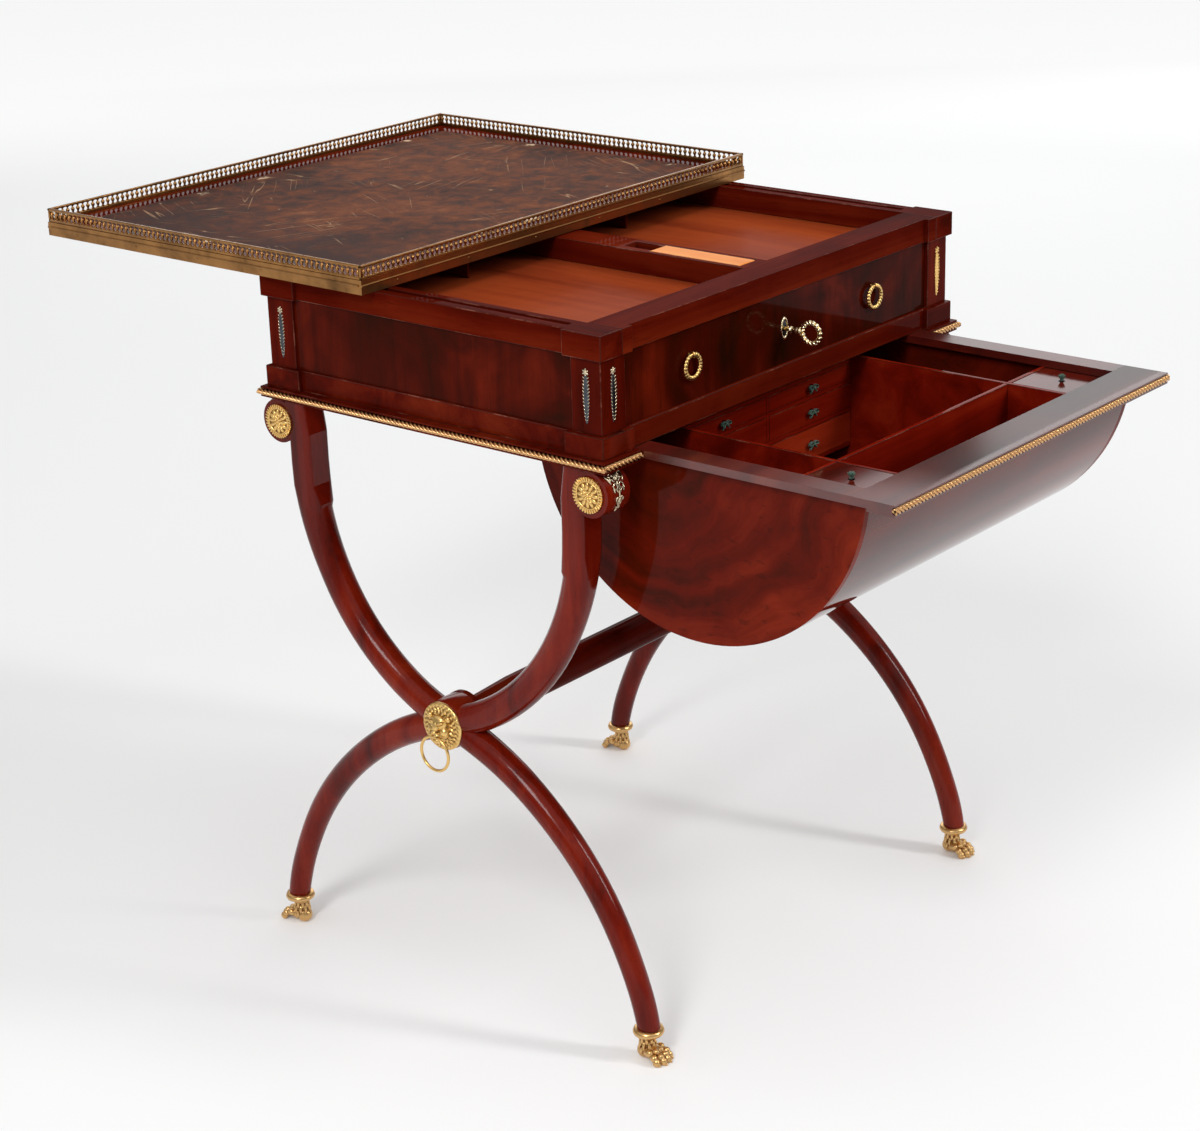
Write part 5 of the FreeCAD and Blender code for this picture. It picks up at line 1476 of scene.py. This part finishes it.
# %% Green silk
DEEP_GREEN, PALE_GREEN = (0.010, 0.032, 0.023), (0.062, 0.160, 0.108)
silk, shader, place = new_finish("green_silk")
threads = noise(stretched(place, (900, 900, 160)), 1.0, 2.0)
place.fill(shader.inputs["Base Color"], mix(level(threads, 0.35, 0.65), DEEP_GREEN, PALE_GREEN))
place.fill(shader.inputs["Roughness"], 0.38 + threads * 0.2)
shader.inputs["Sheen Weight"].default_value = 0.3
print("green silk made")

# %% [markdown]
# On the drawers the silk is tied in a bow of two loops and two short tails. On the lids it is a sheaf
# of ends that spring from a knot. A loop is a hoop drawn out into a ribbon, and an end is a pebble
# drawn out thin.

# %% Silk bows and sheaves
SHEAF_ENDS = 9


def silk_bow(seat):
    """Two loops and two tails about a knot, standing out towards -Y."""
    out = Vector((0, -3.4 * MM, 0))
    knot = pebble(seat + out, Vector((2.0, 3.2, 1.9)) * MM, fine=10)
    parts = [knot]
    for side in (-1, 1):
        middle = seat + out + Vector((side * 4.2, -0.2, 0.7)) * MM
        loop = hoop(middle, "Y", 2.3 * MM, 0.8 * MM, 20, 8)
        parts.append(copied(loop, turn=turn_about("Y", side * 0.2), about=middle, scale=(1.45, 2.3, 0.75)))
        discard(loop)
        tail_at = seat + out + Vector((side * 3.4, 0, -2.9)) * MM
        parts.append(pebble(tail_at, Vector((4.2, 1.7, 1.0)) * MM, turn_about("Y", side * 0.75), 10))
    return parts


def silk_sheaf(seat):
    """A knot and a fan of ends, standing up from a lid."""
    parts = [pebble(seat + Vector((0, 0, 1.2)) * MM, Vector((2.2, 2.0, 1.5)) * MM, fine=10)]
    for number in range(SHEAF_ENDS):
        lean = 0.34 + 0.16 * (number % 2)
        turn = turn_about("Z", number * math.tau / SHEAF_ENDS) @ turn_about("Y", lean)
        middle = seat + turn.to_3x3() @ Vector((0, 0, 4.4 * MM))
        parts.append(pebble(middle, Vector((0.8, 1.15, 3.4)) * MM, turn, 8))
    parts.append(pebble(seat + Vector((0, 0, 4.6)) * MM, Vector((0.9, 0.9, 3.0)) * MM, fine=8))
    return parts


print("bows and sheaves can be tied")

# %% [markdown]
# Every silk sits where the frame's peg stood: a bow in the middle of each drawer's front, and a sheaf
# in the middle of each lid. It rides on the body of its own drawer or lid, so that it goes along.

# %% Silk pulls
for name in small_drawers:
    low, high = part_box(name)
    seat = Vector(((low.x + high.x) / 2, low.y + SILK_RISE, (low.z + high.z) / 2))
    bow = smooth(joined(f"{name}_silk", *silk_bow(seat)), 60)
    finished(bow, silk, nodes[name]["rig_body"], None)
for name in lids:
    low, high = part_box(name)
    seat = Vector(((low.x + high.x) / 2, (low.y + high.y) / 2, high.z - SILK_RISE))
    sheaf = smooth(joined(f"{name}_silk", *silk_sheaf(seat)), 60)
    finished(sheaf, silk, nodes[name]["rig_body"], None)

# %% [markdown]
# The studio is a wide pale floor under soft light. The floor reaches past the picture on every side,
# so it is the background too, and it takes the legs' faint shadows. Under the table, which shades it,
# and far away, where the lamps no longer reach, the floor would go grey. There it glows a little, but
# only for the camera and for mirroring surfaces, so that no light is added to the table.

# %% Floor
# Metres from the middle between which the near glow fades out and the far glow comes in
NEAR_EDGE, FAR_EDGE = (0.5, 1.1), (3.9, 5.5)
FLOOR_SIZE = 60
GLOW, NEAR_SHARE = (0.29, 0.29, 0.29), 0.25
clear()
bpy.ops.mesh.primitive_plane_add(size=FLOOR_SIZE, location=(0, 0, 0))
floor = bpy.context.object
floor.name = "studio_floor"
material, shader, place = new_finish("studio_paper")
mottle = noise(place, 0.6, 2.0)
place.fill(shader.inputs["Base Color"], mix(mottle, (0.895, 0.90, 0.90), (0.915, 0.92, 0.92)))
away = place.node("ShaderNodeVectorMath", {"operation": "LENGTH"}, {0: place}, output="Value")
path = place.node("ShaderNodeLightPath", output="Is Camera Ray")
mirror = Signal(place.tree, path.socket.node.outputs["Is Glossy Ray"])
near = 1 - level(away, *NEAR_EDGE)
far = level(away, *FAR_EDGE)
seen = place.maths("MAXIMUM", path, mirror) * (near * NEAR_SHARE + far)
place.fill(shader.inputs["Emission Color"], mix(seen, (0, 0, 0), GLOW))
shader.inputs["Emission Strength"].default_value = 1.0
shader.inputs["Roughness"].default_value = 0.85
shader.inputs["Specular IOR Level"].default_value = 0.1
floor.data.materials.append(material)
print("floor laid")

# %% [markdown]
# The sky is bright overhead, grey at the horizon and dimmest a little above it, which keeps the
# polished tops from going white. Its colour depends on the height of the view ray alone, so a ramp of
# greys is enough.

# %% Sky
# Greys by the height of the view ray, from 0 at the horizon to 1 overhead
SKY_GREYS = ((0.0, 0.55), (0.16, 0.40), (0.30, 0.16), (0.6, 0.85))
world = bpy.data.worlds.new("studio")
bpy.context.scene.world = world
world.use_nodes = True
tree = world.node_tree
sky = tree.nodes["Background"]
look = Signal(tree, tree.nodes.new("ShaderNodeTexCoord").outputs["Generated"])
height = look.node("ShaderNodeSeparateXYZ", {}, {"Vector": look}, output="Z")
look.fill(sky.inputs["Color"], ramp(height, *((rise, (grey,) * 3) for rise, grey in SKY_GREYS)))
sky.inputs["Strength"].default_value = 0.92
print("sky of", len(SKY_GREYS), "greys")

# %% [markdown]
# Three soft lamps stand round the table, each a lit rectangle. Two are like tall windows, on the left
# and in front, and draw streaks on the polish. The third is a low, wide card behind the table on the
# right, which the box mirrors as a grey sheen.

# %% Lamps
def soft_lamp(name, place, aim, size, power):
    """An area lamp turned towards a point; power is in watts."""
    light = bpy.data.lights.new(name, "AREA")
    light.shape = "RECTANGLE"
    light.size, light.size_y = size
    light.energy = power
    lamp = bpy.data.objects.new(name, light)
    bpy.context.scene.collection.objects.link(lamp)
    lamp.location = place
    lamp.rotation_euler = (Vector(aim) - Vector(place)).to_track_quat("-Z", "Y").to_euler()


soft_lamp("window_left", (-4.2, -1.3, 4.0), (0, 0, 0.4), (1.1, 2.0), 110)
soft_lamp("window_front", (1.9, -4.4, 3.7), (0, 0, 0.4), (0.65, 2.6), 100)
soft_lamp("back_card", (3.93, 2.52, 1.9), (0.33, -0.58, 0.6), (4.2, 1.4), 32)
print("three soft lamps")
